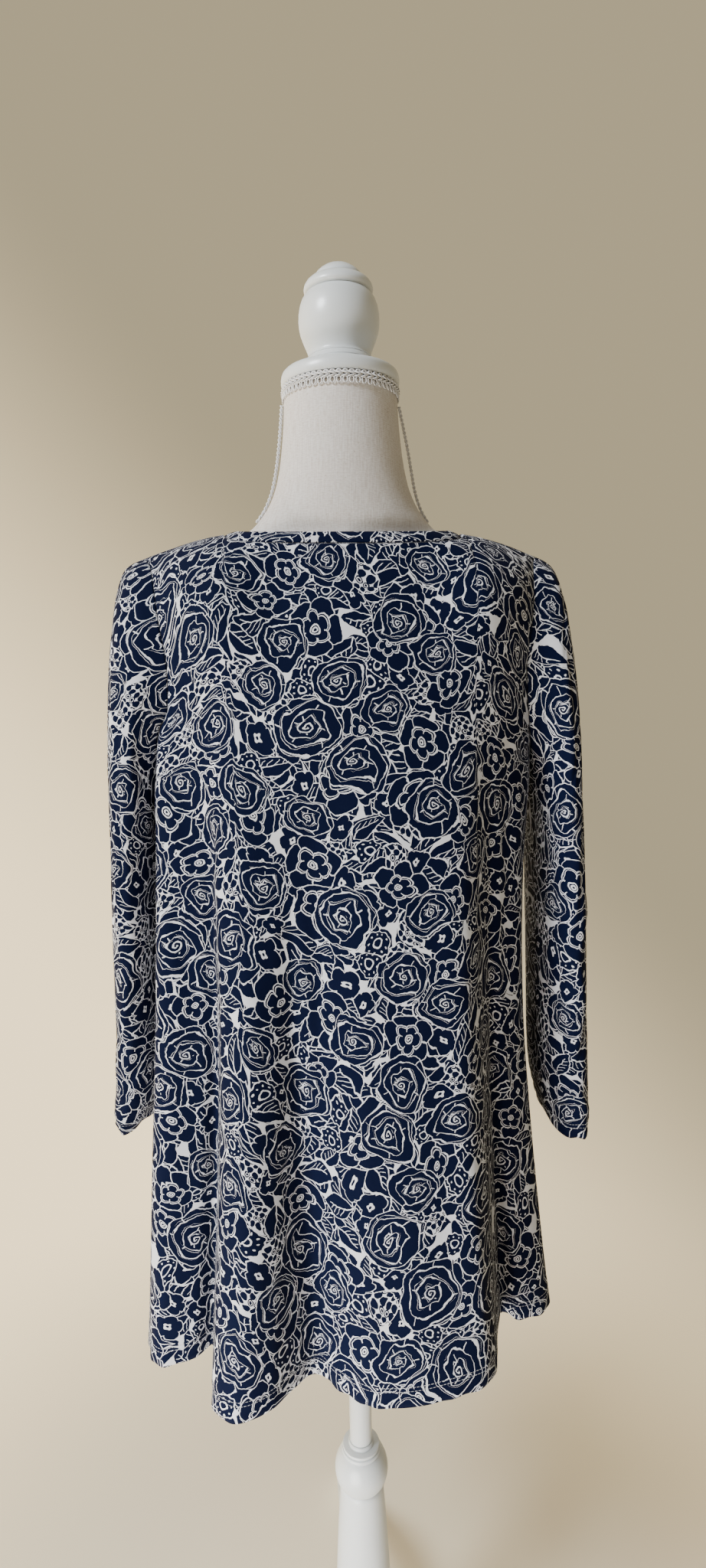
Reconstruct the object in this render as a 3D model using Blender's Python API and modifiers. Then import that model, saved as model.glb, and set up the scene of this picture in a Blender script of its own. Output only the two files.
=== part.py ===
"""A printed tunic top with long sleeves, on a limbless dress form and its turned wooden stand.

All sizes in the tables are millimetres, measured from the floor and from the form's own axis.
The tunic's front looks to -Y and its left side is +X. Angles run round the body in degrees:
0 is the left side seam, 90 the middle of the back (or of the front, for the front panel), 180 the right side seam.
"""
from math import acos, cos, degrees, radians, sin

import bmesh
import bpy
import numpy as np

MM = 0.001

# Driving sizes
WALL = 1.4
SEAM_GAP = 0.4
REST_GAP = 0.3
HEM_HEIGHT = 640.0
FLARE_TOP = 1260.0
SHOULDER_TIP = (200.0, 1411.5)
SHOULDER_RISE = 2.5
NECK_SEAM = (118.0, 1434.5)
NECK_EDGE = (105.0, 1438.5)
BACK_NECK_DROP = 17.0
BACK_NECK_DEPTH = 65.0
BACK_NECK_SHAPE = 2.8
FRONT_NECK_DROP = 88.0
FRONT_NECK_DEPTH = 93.0
FRONT_NECK_CURVE = 1.5
FRONT_NECK_SHAPE = 2.2
SHOULDER_ROUND = 90.0
NAPE_SLOPE = 170.0
ARMPIT_HEIGHT = 1200.0
ARMHOLE_HALF_WIDTH = 57.5
ARMHOLE_STEP = 15
BAND_WALL = 1.8
BAND_LIFT = 0.5
BAND_GAP = 0.7

# Rings of the body above the flare: height, half width, depth behind the axis, depth before it, roundness
BODY = (
    (640.0, 168.0, 118.0, 122.0, 2.3),
    (900.0, 169.0, 118.0, 122.0, 2.3),
    (1000.0, 173.0, 117.0, 122.0, 2.3),
    (1100.0, 180.0, 116.0, 124.0, 2.3),
    (1200.0, 188.0, 115.0, 127.0, 2.3),
    (1300.0, 191.0, 113.0, 119.0, 2.3),
    (1360.0, 197.0, 110.0, 107.0, 2.3),
    (1409.0, 200.0, 105.0, 96.0, 2.3),
    (1440.0, 200.0, 100.0, 90.0, 2.3),
)

# The hem as it hangs, behind: angle at the chest above this point, distance to the left, distance behind,
# and how fast the fold here fades going up
BACK_HEM = (
    (0.0, 205.0, 0.0, 2.2),
    (4.0, 211.0, 22.0, 2.0),
    (8.0, 217.0, 48.0, 1.3),
    (13.0, 220.5, 76.0, 0.8),
    (20.0, 216.0, 109.0, 0.6),
    (29.0, 200.0, 127.0, 0.8),
    (38.5, 171.0, 120.0, 1.1),
    (44.5, 155.0, 104.0, 1.15),
    (46.8, 153.0, 129.0, 1.15),
    (49.2, 152.0, 167.0, 1.1),
    (52.8, 142.0, 185.0, 1.1),
    (58.5, 125.0, 192.5, 1.1),
    (67.0, 97.0, 184.0, 1.2),
    (74.0, 73.0, 163.0, 1.4),
    (79.0, 54.0, 152.0, 1.5),
    (84.0, 32.0, 170.0, 1.4),
    (90.5, -1.0, 191.0, 1.2),
    (99.0, -36.0, 194.0, 1.1),
    (107.5, -70.0, 191.0, 1.1),
    (116.5, -101.5, 183.0, 1.0),
    (121.5, -117.0, 163.5, 1.0),
    (126.0, -129.0, 123.0, 1.0),
    (130.0, -140.5, 96.0, 1.0),
    (137.0, -155.5, 108.5, 1.2),
    (147.0, -175.5, 105.5, 1.4),
    (157.0, -191.0, 96.0, 1.6),
    (167.0, -199.0, 64.0, 2.0),
    (174.0, -203.0, 30.0, 2.3),
    (180.0, -204.0, 0.0, 2.4),
)

# The hem as it hangs, in front, in the same columns with the distance before the axis
FRONT_HEM = (
    (0.0, 205.0, 0.0, 2.2),
    (5.0, 199.0, 26.0, 2.2),
    (11.0, 193.0, 50.0, 1.9),
    (19.0, 186.0, 74.0, 1.6),
    (27.0, 174.0, 92.0, 1.3),
    (35.0, 157.0, 98.0, 1.1),
    (43.0, 141.0, 92.0, 1.1),
    (50.0, 127.0, 100.0, 1.1),
    (57.0, 110.0, 122.0, 1.0),
    (64.0, 91.0, 134.0, 1.0),
    (71.0, 72.0, 128.0, 1.1),
    (78.0, 51.0, 116.0, 1.2),
    (84.0, 30.0, 124.0, 1.1),
    (90.0, 6.0, 142.0, 1.0),
    (96.0, -20.0, 146.0, 1.0),
    (102.0, -44.0, 136.0, 1.1),
    (109.0, -66.0, 124.0, 1.2),
    (116.0, -86.0, 132.0, 1.1),
    (123.0, -108.0, 143.0, 1.0),
    (130.0, -130.0, 136.0, 1.0),
    (137.0, -150.0, 116.0, 1.1),
    (145.0, -166.0, 104.0, 1.3),
    (153.0, -183.0, 106.0, 1.6),
    (161.0, -198.0, 94.0, 1.9),
    (168.0, -207.0, 68.0, 2.2),
    (174.0, -208.0, 34.0, 2.4),
    (180.0, -204.0, 0.0, 2.4),
)

# Rings of a sleeve after the armhole: outer point (out, height), inner point (out, height), half width front to back
SLEEVE = (
    (212.0, 1407.0, 190.4, 1190.0, 60.0),
    (222.0, 1399.0, 192.2, 1178.0, 62.0),
    (229.5, 1381.0, 193.5, 1164.0, 63.5),
    (235.0, 1355.0, 194.5, 1148.0, 64.5),
    (239.5, 1323.0, 195.5, 1130.0, 65.0),
    (243.0, 1285.0, 196.5, 1110.0, 65.0),
    (245.5, 1240.0, 197.5, 1088.0, 64.5),
    (247.5, 1190.0, 198.5, 1062.0, 63.5),
    (249.5, 1135.0, 199.5, 1032.0, 62.5),
    (251.5, 1078.0, 200.3, 1002.0, 61.0),
    (253.0, 1020.0, 201.0, 968.0, 59.0),
    (254.5, 965.0, 201.5, 932.0, 57.0),
    (256.0, 915.0, 202.0, 896.0, 55.0),
    (257.0, 870.0, 203.0, 862.0, 53.0),
    (256.0, 840.0, 208.0, 838.0, 51.0),
    (254.0, 818.0, 212.0, 818.0, 50.0),
)
BOW_RINGS = 4
# How each sleeve hangs by its cuff: narrower, further back, and turned with its back edge outward
LEFT_HANG = (7.0, -26.0, radians(14.0))
RIGHT_HANG = (13.0, 29.0, radians(9.0))
HANG_GROWTH = 1.3
# How much wider the right sleeve falls open towards the body, and the ring where it does so most
RIGHT_FULLNESS = 6.0
FULLEST_RING = 13
FULL_RINGS = 7.0

# Rings of the dress form: height, half width, depth behind the axis, depth before it, roundness
FORM = (
    (800.0, 146.0, 104.0, 96.0, 2.2),
    (812.0, 152.0, 108.0, 100.0, 2.2),
    (870.0, 158.0, 110.0, 104.0, 2.2),
    (940.0, 155.0, 107.0, 103.0, 2.2),
    (1005.0, 142.0, 96.0, 98.0, 2.2),
    (1070.0, 130.0, 88.0, 95.0, 2.2),
    (1130.0, 138.0, 92.0, 108.0, 2.2),
    (1190.0, 156.0, 102.0, 119.0, 2.2),
    (1250.0, 168.0, 102.0, 111.0, 2.2),
    (1300.0, 172.0, 97.5, 100.0, 2.2),
    (1340.0, 174.0, 88.0, 86.0, 2.1),
    (1370.0, 174.0, 76.0, 74.0, 1.9),
    (1392.0, 172.0, 66.0, 64.0, 1.65),
    (1406.0, 165.0, 59.5, 58.0, 1.5),
    (1416.0, 154.0, 56.0, 55.0, 1.4),
    (1424.0, 137.0, 54.0, 53.5, 1.33),
    (1431.0, 113.5, 53.0, 53.5, 1.38),
    (1437.0, 95.0, 52.5, 54.0, 1.7),
    (1445.0, 85.5, 53.0, 54.0, 1.95),
    (1463.0, 72.5, 53.5, 54.5, 2.0),
    (1482.0, 65.0, 54.0, 54.5, 2.0),
    (1507.0, 60.0, 54.5, 55.0, 2.0),
    (1540.0, 56.5, 55.0, 55.0, 2.0),
    (1572.4, 54.8, 54.8, 54.8, 2.0),
)

# Turned pieces, from top to bottom: radius, height
CAP_PROFILE = (
    (0.0, 1586.6),
    (53.0, 1586.6),
    (56.2, 1584.8),
    (57.2, 1580.0),
    (56.4, 1575.0),
    (54.0, 1572.8),
    (0.0, 1572.8),
)
FINIAL_PROFILE = (
    (0.0, 1685.0),
    (9.0, 1684.2),
    (17.0, 1680.5),
    (23.0, 1675.0),
    (24.5, 1672.0),
    (29.0, 1669.5),
    (32.6, 1665.0),
    (33.2, 1661.0),
    (31.8, 1658.2),
    (35.6, 1652.0),
    (38.4, 1643.0),
    (39.2, 1633.5),
    (38.0, 1622.5),
    (35.0, 1612.5),
    (31.5, 1604.0),
    (29.8, 1598.0),
    (30.2, 1594.0),
    (33.0, 1590.5),
    (33.5, 1586.9),
    (0.0, 1586.9),
)
COLUMN_PROFILE = (
    (0.0, 404.0),
    (14.0, 404.0),
    (14.8, 401.0),
    (14.8, 398.6),
    (19.0, 397.6),
    (20.6, 395.6),
    (20.6, 392.2),
    (23.0, 391.0),
    (24.2, 388.6),
    (27.6, 382.4),
    (30.6, 374.0),
    (31.2, 366.0),
    (30.2, 357.0),
    (27.0, 348.5),
    (25.4, 344.0),
    (25.6, 335.0),
    (27.4, 313.0),
    (29.6, 275.0),
    (31.6, 233.0),
    (33.6, 190.0),
    (34.6, 172.0),
    (37.0, 168.0),
    (37.0, 94.0),
    (33.0, 84.0),
    (26.0, 78.0),
    (0.0, 78.0),
)
POLE_RADIUS = 13.0
POLE_BOTTOM = 404.3
TRIM_PROFILE = ((56.0, 1569.2), (58.8, 1568.4), (59.6, 1563.8), (58.8, 1559.2), (56.0, 1558.4))

# The cord down each side of the neck: its thickness, and the heights of its ends
CORD_RADIUS = 1.5
CORD_TOP = 1557.0
CORD_FOOT = 1447.0
CORD_POINTS = 9

# A leg, from the hub to its foot: distance from the column's axis, top, bottom, half width
LEG = (
    (37.4, 160.0, 100.0, 14.0),
    (62.0, 161.0, 106.0, 14.0),
    (100.0, 153.0, 106.0, 13.5),
    (140.0, 132.0, 91.0, 13.0),
    (180.0, 103.0, 66.0, 12.5),
    (220.0, 70.0, 36.0, 12.0),
    (250.0, 46.0, 12.0, 12.5),
    (268.0, 36.0, 0.0, 13.5),
    (300.0, 27.0, 0.0, 14.0),
    (312.0, 19.0, 0.0, 11.0),
)
LEG_CHAMFER = 4.0
LEG_DIRECTIONS = (30.0, 150.0, 270.0)

# Colour, roughness, metallic
MATERIALS = {
    "printed_cloth": ((0.055, 0.085, 0.190), 0.85, 0.0),
    "form_linen": ((0.780, 0.770, 0.740), 0.90, 0.0),
    "white_braid": ((0.820, 0.810, 0.790), 0.80, 0.0),
    "white_paint": ((0.800, 0.800, 0.790), 0.35, 0.0),
    "white_metal": ((0.780, 0.780, 0.780), 0.30, 0.0),
}


def clear_scene():
    for thing in list(bpy.data.objects):
        bpy.data.objects.remove(thing, do_unlink=True)


def material(name):
    colour, roughness, metallic = MATERIALS[name]
    made = bpy.data.materials.get(name) or bpy.data.materials.new(name)
    made.use_nodes = True
    shader = made.node_tree.nodes["Principled BSDF"]
    shader.inputs["Base Color"].default_value = (*colour, 1.0)
    shader.inputs["Roughness"].default_value = roughness
    shader.inputs["Metallic"].default_value = metallic
    made.diffuse_color = (*colour, 1.0)
    return made


def smooth_between(rows, column, at):
    """The table's column at this place in its first column, as a smooth curve with no overshoot."""
    keys = [row[0] for row in rows]
    values = [row[column] for row in rows]
    at = min(max(at, keys[0]), keys[-1])
    slopes = []
    rises = [(values[i + 1] - values[i]) / (keys[i + 1] - keys[i]) for i in range(len(keys) - 1)]
    for i in range(len(keys)):
        before = rises[max(i - 1, 0)]
        after = rises[min(i, len(rises) - 1)]
        slopes.append(2 * before * after / (before + after) if before * after > 0 else 0.0)
    spot = max(i for i in range(len(keys) - 1) if keys[i] <= at)
    span = keys[spot + 1] - keys[spot]
    t = (at - keys[spot]) / span
    return (
        values[spot] * (1 + 2 * t) * (1 - t) ** 2
        + slopes[spot] * span * t * (1 - t) ** 2
        + values[spot + 1] * t * t * (3 - 2 * t)
        + slopes[spot + 1] * span * t * t * (t - 1)
    )


def ring_point(rows, angle, height, side):
    """A point on an oval ring whose sides are squarer the higher its roundness is."""
    half_width = smooth_between(rows, 1, height)
    depth = smooth_between(rows, 2 if side > 0 else 3, height)
    power = 2 / smooth_between(rows, 4, height)
    across = cos(radians(angle))
    along = max(sin(radians(angle)), 0.0)
    x = half_width * abs(across) ** power * (1 if across > 0 else -1)
    return x, depth * along**power


def neckline_share(x, side):
    """How far round from the shoulder seam (0) to the middle of the neck (1) a neckline point is."""
    share = min(abs(x) / NECK_SEAM[0], 1.0)
    shape = BACK_NECK_SHAPE if side > 0 else FRONT_NECK_SHAPE
    return max(1 - share**shape, 0.0) ** (1 / shape)


def top_edge(x, side):
    """Depth and height of the panel's top edge: the shoulder seam, then the neckline."""
    if abs(x) >= NECK_SEAM[0]:
        along = (abs(x) - NECK_SEAM[0]) / (SHOULDER_TIP[0] - NECK_SEAM[0])
        rise = 4 * SHOULDER_RISE * along * (1 - along)
        return 0.0, NECK_SEAM[1] + along * (SHOULDER_TIP[1] - NECK_SEAM[1]) + rise
    share = neckline_share(x, side)
    if side > 0:
        return BACK_NECK_DEPTH * share, NECK_SEAM[1] - BACK_NECK_DROP * share
    return FRONT_NECK_DEPTH * share, NECK_SEAM[1] - FRONT_NECK_DROP * share**FRONT_NECK_CURVE


def body_point(angle, height, side):
    """The tunic's outer face: side is 1 on the back and -1 on the front."""
    x, depth = ring_point(BODY, angle, height, side)
    edge_depth, edge_height = top_edge(x, side)
    below = max(edge_height - height, 0.0)
    on_shoulder = min(max((abs(x) - 60.0) / 70.0, 0.0), 1.0)
    on_shoulder = on_shoulder * on_shoulder * (3 - 2 * on_shoulder)
    round_rise = (1 - (1 - min(below / SHOULDER_ROUND, 1.0)) ** 2) ** 0.5
    nape_rise = 1 - (1 - min(below / NAPE_SLOPE, 1.0)) ** 1.8
    rise = on_shoulder * round_rise + (1 - on_shoulder) * nape_rise
    depth = edge_depth + (depth - edge_depth) * rise
    hem = BACK_HEM if side > 0 else FRONT_HEM
    flare = (max(FLARE_TOP - height, 0.0) / (FLARE_TOP - HEM_HEIGHT)) ** smooth_between(hem, 3, angle)
    x += flare * (smooth_between(hem, 1, angle) - x)
    depth += flare * (smooth_between(hem, 2, angle) - depth)
    return np.array((x, side * depth, height))


def armhole_height(turn):
    """Height of the armhole's edge, turn degrees from the shoulder tip round to the armpit."""
    middle = (SHOULDER_TIP[1] + ARMPIT_HEIGHT) / 2
    return middle + (SHOULDER_TIP[1] - ARMPIT_HEIGHT) / 2 * cos(radians(turn))


def armhole_angle(turn, side, right):
    """Angle round the body of the armhole's edge, found by halving the interval."""
    if turn in (0, 180):
        return 0.0
    height = armhole_height(turn)
    wanted = ARMHOLE_HALF_WIDTH * sin(radians(turn))
    low, high = 0.0, 60.0
    for _ in range(40):
        middle = (low + high) / 2
        at = body_point(180 - middle if right else middle, height, side)
        if abs(at[1]) < wanted:
            low = middle
        else:
            high = middle
    return (low + high) / 2


def neck_columns():
    """Angles of the panel columns that end on the neckline, close together at the shoulder seam."""
    columns = []
    for turn in range(0, 181, 12):
        across = abs(cos(radians(turn))) ** (2 / FRONT_NECK_SHAPE) * NECK_SEAM[0] / SHOULDER_TIP[0]
        angle = degrees(acos(across ** (BODY[0][4] / 2)))
        columns.append(angle if turn <= 90 else 180 - angle)
    return columns


def panel_columns(fold_angles):
    """Columns at the folds beside the neck's, and the neck's own between them."""
    neck = neck_columns()
    left = [angle for angle in fold_angles if angle < neck[0] - 0.5]
    right = [angle for angle in fold_angles if angle > neck[-1] + 0.5]
    return left + neck + right


LOW_ROWS = (640.0, 658.0, 690.0, 735.0, 790.0, 850.0, 915.0, 985.0, 1050.0, 1110.0, 1160.0)
ARMHOLE_TURNS = tuple(range(180, -1, -ARMHOLE_STEP))
BACK_FOLDS = (
    0, 4, 8, 12, 16, 20, 24.5, 29, 33.5, 38, 41.5, 44, 45.5, 46.8, 48, 49.5, 51.5, 54,
    125, 127, 129, 131.5, 134.5, 138, 142, 147, 152, 157.5, 163, 169, 174.5, 180,
)
FRONT_FOLDS = (
    0, 6, 12, 18, 24, 30, 36, 42, 48, 54,
    125, 131, 137, 143, 149, 155, 161, 167, 173.5, 180,
)


def panel_grid(side):
    """Rows from hem to shoulder of points on the back or front panel's outer face."""
    columns = panel_columns(BACK_FOLDS if side > 0 else FRONT_FOLDS)
    rows = [(height, None) for height in LOW_ROWS]
    rows += [(armhole_height(turn), turn) for turn in ARMHOLE_TURNS]
    power = 2 / BODY[0][4]
    corner = neck_columns()[0]
    grid = []
    for height, turn in rows:
        share = (height - HEM_HEIGHT) / (SHOULDER_TIP[1] - HEM_HEIGHT)
        cut_left = armhole_angle(turn, side, False) if turn is not None else 0.0
        cut_right = armhole_angle(turn, side, True) if turn is not None else 0.0
        line = []
        for angle in columns:
            across = cos(radians(angle))
            top_x = SHOULDER_TIP[0] * abs(across) ** power
            top = top_edge(top_x, side)[1]
            bent = angle + cut_left * max(1 - angle / corner, 0.0) - cut_right * max(1 - (180 - angle) / corner, 0.0)
            line.append(body_point(bent, HEM_HEIGHT + share * (top - HEM_HEIGHT), side))
        grid.append(line)
    return np.array(grid), columns


def grid_normals(grid, closed=False):
    """Unit normals at a grid's points, from the points beside them."""
    up = np.gradient(grid, axis=0)
    if closed:
        along = np.roll(grid, -1, axis=1) - np.roll(grid, 1, axis=1)
    else:
        along = np.gradient(grid, axis=1)
    normals = np.cross(along, up)
    return unit(normals)


def unit(vectors):
    length = np.linalg.norm(vectors, axis=-1, keepdims=True)
    return vectors / np.maximum(length, 1e-9)


def radial(turn, side):
    """Direction out of the armhole, in its own upright plane."""
    return np.array((0.0, side * sin(radians(turn)), cos(radians(turn))))


def panel_normals(grid, columns, side):
    """The panel's normals, square to each seam so that two walls meet there without crossing."""
    normals = grid_normals(grid)
    if np.sum(normals[:, :, 1] * side) < 0:
        normals = -normals
    armpit = len(LOW_ROWS)
    for edge in (0, -1):
        normals[:armpit, edge, 1] = 0.0
        for row, turn in enumerate(ARMHOLE_TURNS):
            if turn in (0, 180):
                normals[armpit + row, edge, 1] = 0.0
            normals[armpit + row, edge] = unit(normals[armpit + row, edge]) + radial(turn, side)
    neck = neck_columns()
    for column, angle in enumerate(columns):
        if angle <= neck[0] + 0.01 or angle >= neck[-1] - 0.01:
            normals[-1, column, 1] = 0.0
    return unit(normals)


def part_at_seams(grid, columns, side):
    """Moves the panel's edges half a seam's gap back from its side seams and shoulder seams."""
    half_gap = side * SEAM_GAP / 2
    armpit = len(LOW_ROWS)
    grid[: armpit + 1, 0, 1] += half_gap
    grid[: armpit + 1, -1, 1] += half_gap
    neck = neck_columns()
    for column, angle in enumerate(columns):
        if angle <= neck[0] + 0.01 or angle >= neck[-1] - 0.01:
            grid[-1, column, 1] += half_gap
    return grid


def mesh_object(name, points, faces, material_name, collection):
    mesh = bpy.data.meshes.new(name)
    mesh.from_pydata([tuple(float(v) * MM for v in point) for point in points], [], faces)
    work = bmesh.new()
    work.from_mesh(mesh)
    bmesh.ops.recalc_face_normals(work, faces=work.faces)
    if work.calc_volume(signed=True) < 0:
        bmesh.ops.reverse_faces(work, faces=work.faces)
    work.to_mesh(mesh)
    work.free()
    mesh.shade_smooth()
    mesh.set_sharp_from_angle(angle=radians(50))
    mesh.materials.append(material(material_name))
    made = bpy.data.objects.new(name, mesh)
    collection.objects.link(made)
    return made


def wall(name, grid, normals, thickness, material_name, collection, closed=False):
    """A closed wall: the grid's points outside, the same points moved in by the thickness inside."""
    rows, columns = grid.shape[:2]
    points = np.concatenate((grid.reshape(-1, 3), (grid - normals * thickness).reshape(-1, 3)))
    inside = rows * columns
    last = columns if closed else columns - 1
    faces = []
    for row in range(rows - 1):
        for column in range(last):
            beside = (column + 1) % columns
            corners = (
                row * columns + column,
                row * columns + beside,
                (row + 1) * columns + beside,
                (row + 1) * columns + column,
            )
            faces.append(corners)
            faces.append(tuple(inside + corner for corner in reversed(corners)))
    for row in (0, rows - 1):
        for column in range(last):
            a = row * columns + column
            b = row * columns + (column + 1) % columns
            faces.append((a, inside + a, inside + b, b) if row == 0 else (b, inside + b, inside + a, a))
    if not closed:
        for column in (0, columns - 1):
            for row in range(rows - 1):
                a = row * columns + column
                b = a + columns
                faces.append((b, inside + b, inside + a, a) if column == 0 else (a, inside + a, inside + b, b))
    return mesh_object(name, points, faces, material_name, collection)


def make_panel(name, side, collection):
    grid, columns = panel_grid(side)
    normals = panel_normals(grid, columns, side)
    part_at_seams(grid, columns, side)
    wall(name, grid, normals, WALL, "printed_cloth", collection)
    return grid, normals, columns


def armhole_loop(right):
    """Points of the armhole's edge, from the shoulder tip down the back to the armpit and up the front."""
    loop = []
    turns = [(turn, 1) for turn in range(0, 181, ARMHOLE_STEP)]
    turns += [(turn, -1) for turn in range(180 - ARMHOLE_STEP, 0, -ARMHOLE_STEP)]
    for turn, side in turns:
        angle = armhole_angle(turn, side, right)
        loop.append(body_point(180 - angle if right else angle, armhole_height(turn), side))
    return np.array(loop), turns


def make_sleeve(name, right, collection):
    """A tube from the armhole, whose rings turn from upright to level as the sleeve turns down."""
    hand = -1 if right else 1
    loop, turns = armhole_loop(right)
    loop[:, 0] += hand * SEAM_GAP
    around = np.array([radians(turn) * side for turn, side in turns])
    tip, armpit = loop[0], loop[len(loop) // 2]
    plain = (tip + armpit) / 2 + np.outer(np.cos(around), (tip - armpit) / 2)
    bow = (loop - plain)[:, 0]
    narrower, back, twist = RIGHT_HANG if right else LEFT_HANG
    rings = [loop]
    for number, (outer_x, outer_z, inner_x, inner_z, half_width) in enumerate(SLEEVE, start=1):
        outer_x -= narrower * min(number / BOW_RINGS, 1.0)
        outer = np.array((hand * outer_x, 0.0, outer_z))
        if right:
            inner_x -= RIGHT_FULLNESS * max(1 - abs(number - FULLEST_RING) / FULL_RINGS, 0.0)
        inner = np.array((hand * inner_x, 0.0, inner_z))
        ring = (outer + inner) / 2 + np.outer(np.cos(around), (outer - inner) / 2)
        ring[:, 1] += half_width * np.sin(around)
        share = (number / len(SLEEVE)) ** HANG_GROWTH
        turned = share * twist
        centre_x = ring[:, 0].mean()
        across = hand * (ring[:, 0] - centre_x)
        along = ring[:, 1].copy()
        ring[:, 0] = centre_x + hand * (across * cos(turned) + along * sin(turned))
        ring[:, 1] = along * cos(turned) - across * sin(turned) + back * share
        ring[:, 0] += bow * max(1 - number / BOW_RINGS, 0.0) ** 1.5
        rings.append(ring)
    grid = np.array(rings)
    normals = grid_normals(grid, closed=True)
    middle = grid.mean(axis=1, keepdims=True)
    if np.sum(normals * (grid - middle)) < 0:
        normals = -normals
    for column, (turn, side) in enumerate(turns):
        normals[0, column] = unit(normals[0, column]) + radial(turn, side)
    return wall(name, grid, unit(normals), WALL, "printed_cloth", collection, closed=True)


def neckline_of(grid, normals, columns):
    """The part of a panel's top row, and its normals, that lies on the neckline."""
    neck = neck_columns()
    spots = [spot for spot, angle in enumerate(columns) if neck[0] - 0.01 <= angle <= neck[-1] + 0.01]
    return grid[-1, spots], normals[-1, spots]


def neckband_edge(point, side):
    """The band's free edge beside this point of the panels' neckline."""
    share = neckline_share(point[0], side)
    x = point[0] * NECK_EDGE[0] / NECK_SEAM[0]
    if side > 0:
        return x, (BACK_NECK_DEPTH - 7.0) * share, NECK_EDGE[1] - (BACK_NECK_DROP - 7.0) * share
    drop = (FRONT_NECK_DROP - 7.5) * share**FRONT_NECK_CURVE
    return x, -(FRONT_NECK_DEPTH - 7.0) * share, NECK_EDGE[1] - drop


def make_neckband(back, front, collection):
    """A ring made from the panels' neckline points and moved out, so that it stands just proud of them."""
    back_points, back_normals = neckline_of(*back)
    front_points, front_normals = neckline_of(*front)
    outer = np.concatenate((back_points, front_points[-2:0:-1]))
    outer_normals = np.concatenate((back_normals, front_normals[-2:0:-1]))
    for corner in (0, len(back_points) - 1):
        outer[corner, 1] = 0.0
    sides = [1] * len(back_points) + [-1] * (len(front_points) - 2)
    inner = np.array([neckband_edge(point, side) for point, side in zip(outer, sides)])
    outer = outer + unit(inner - outer) * BAND_GAP
    grid = np.array((outer, (outer + inner) / 2, inner))
    normals = grid_normals(grid, closed=True)
    if np.sum(normals * outer_normals[None]) < 0:
        normals = -normals
    normals[0] = outer_normals
    normals[1] = unit(normals[1] + outer_normals)
    grid = grid + normals * BAND_LIFT
    return wall("neckband", grid, normals, BAND_WALL, "printed_cloth", collection, closed=True)


def make_form(collection):
    """The torso and neck of the dress form, one closed body from its base to under the cap."""
    columns = 36
    points, faces = [], []
    for height, *_ in FORM:
        for column in range(columns):
            angle = 360.0 * column / columns
            side = 1 if angle <= 180 else -1
            folded = angle if side > 0 else 360 - angle
            x, depth = ring_point(FORM, folded, height, side)
            points.append((x, side * depth, height))
    for ring in range(len(FORM) - 1):
        for column in range(columns):
            beside = (column + 1) % columns
            faces.append(
                (
                    ring * columns + column,
                    ring * columns + beside,
                    (ring + 1) * columns + beside,
                    (ring + 1) * columns + column,
                )
            )
    faces.append(tuple(reversed(range(columns))))
    top = (len(FORM) - 1) * columns
    faces.append(tuple(range(top, top + columns)))
    return mesh_object("dress_form", points, faces, "form_linen", collection)


def make_turned(name, profile, steps, material_name, collection, closed=False):
    """A profile drawn on its outer side from top to bottom, turned about the form's axis."""
    mesh = bpy.data.meshes.new(name)
    edges = [(i, i + 1) for i in range(len(profile) - 1)]
    if closed:
        edges.append((len(profile) - 1, 0))
    mesh.from_pydata([(radius * MM, 0.0, height * MM) for radius, height in profile], edges, [])
    mesh.materials.append(material(material_name))
    made = bpy.data.objects.new(name, mesh)
    collection.objects.link(made)
    turn = made.modifiers.new("turn", "SCREW")
    turn.steps = steps
    turn.render_steps = steps
    turn.use_merge_vertices = True
    turn.merge_threshold = 0.00005
    turn.use_smooth_shade = True
    return made


def make_pole(collection):
    top = FORM[0][0] - REST_GAP
    bpy.ops.mesh.primitive_cylinder_add(
        vertices=24,
        radius=POLE_RADIUS * MM,
        depth=(top - POLE_BOTTOM) * MM,
        location=(0.0, 0.0, (top + POLE_BOTTOM) / 2 * MM),
    )
    pole = bpy.context.object
    pole.name = "pole"
    pole.data.name = "pole"
    pole.data.materials.append(material("white_metal"))
    for owner in list(pole.users_collection):
        owner.objects.unlink(pole)
    collection.objects.link(pole)
    return pole


def make_cord(name, hand, collection):
    """The cord sewn down the form's side seam, from under the braid to the tunic's neck."""
    curve = bpy.data.curves.new(name, "CURVE")
    curve.dimensions = "3D"
    curve.bevel_depth = CORD_RADIUS * MM
    curve.bevel_resolution = 1
    curve.use_fill_caps = True
    spline = curve.splines.new("POLY")
    spline.points.add(CORD_POINTS - 1)
    for number, point in enumerate(spline.points):
        height = CORD_TOP + (CORD_FOOT - CORD_TOP) * number / (CORD_POINTS - 1)
        out = smooth_between(FORM, 1, height) + CORD_RADIUS + 3 * REST_GAP
        point.co = (hand * out * MM, 0.0, height * MM, 1.0)
    curve.materials.append(material("white_braid"))
    made = bpy.data.objects.new(name, curve)
    collection.objects.link(made)
    return made


def make_leg(name, direction, collection):
    """One leg of the stand: a chamfered bar whose foot is flat on the floor."""
    points, faces = [], []
    for out, top, bottom, half_width in LEG:
        c = LEG_CHAMFER
        section = (
            (-half_width + c, bottom),
            (half_width - c, bottom),
            (half_width, bottom + c),
            (half_width, top - c),
            (half_width - c, top),
            (-half_width + c, top),
            (-half_width, top - c),
            (-half_width, bottom + c),
        )
        points += [(out, across, height) for across, height in section]
    size = 8
    for ring in range(len(LEG) - 1):
        for corner in range(size):
            beside = (corner + 1) % size
            faces.append(
                (ring * size + corner, ring * size + beside, (ring + 1) * size + beside, (ring + 1) * size + corner)
            )
    faces.append(tuple(range(size)))
    end = (len(LEG) - 1) * size
    faces.append(tuple(range(end, end + size)))
    leg = mesh_object(name, points, faces, "white_paint", collection)
    leg.rotation_euler = (0.0, 0.0, radians(direction))
    return leg


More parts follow.
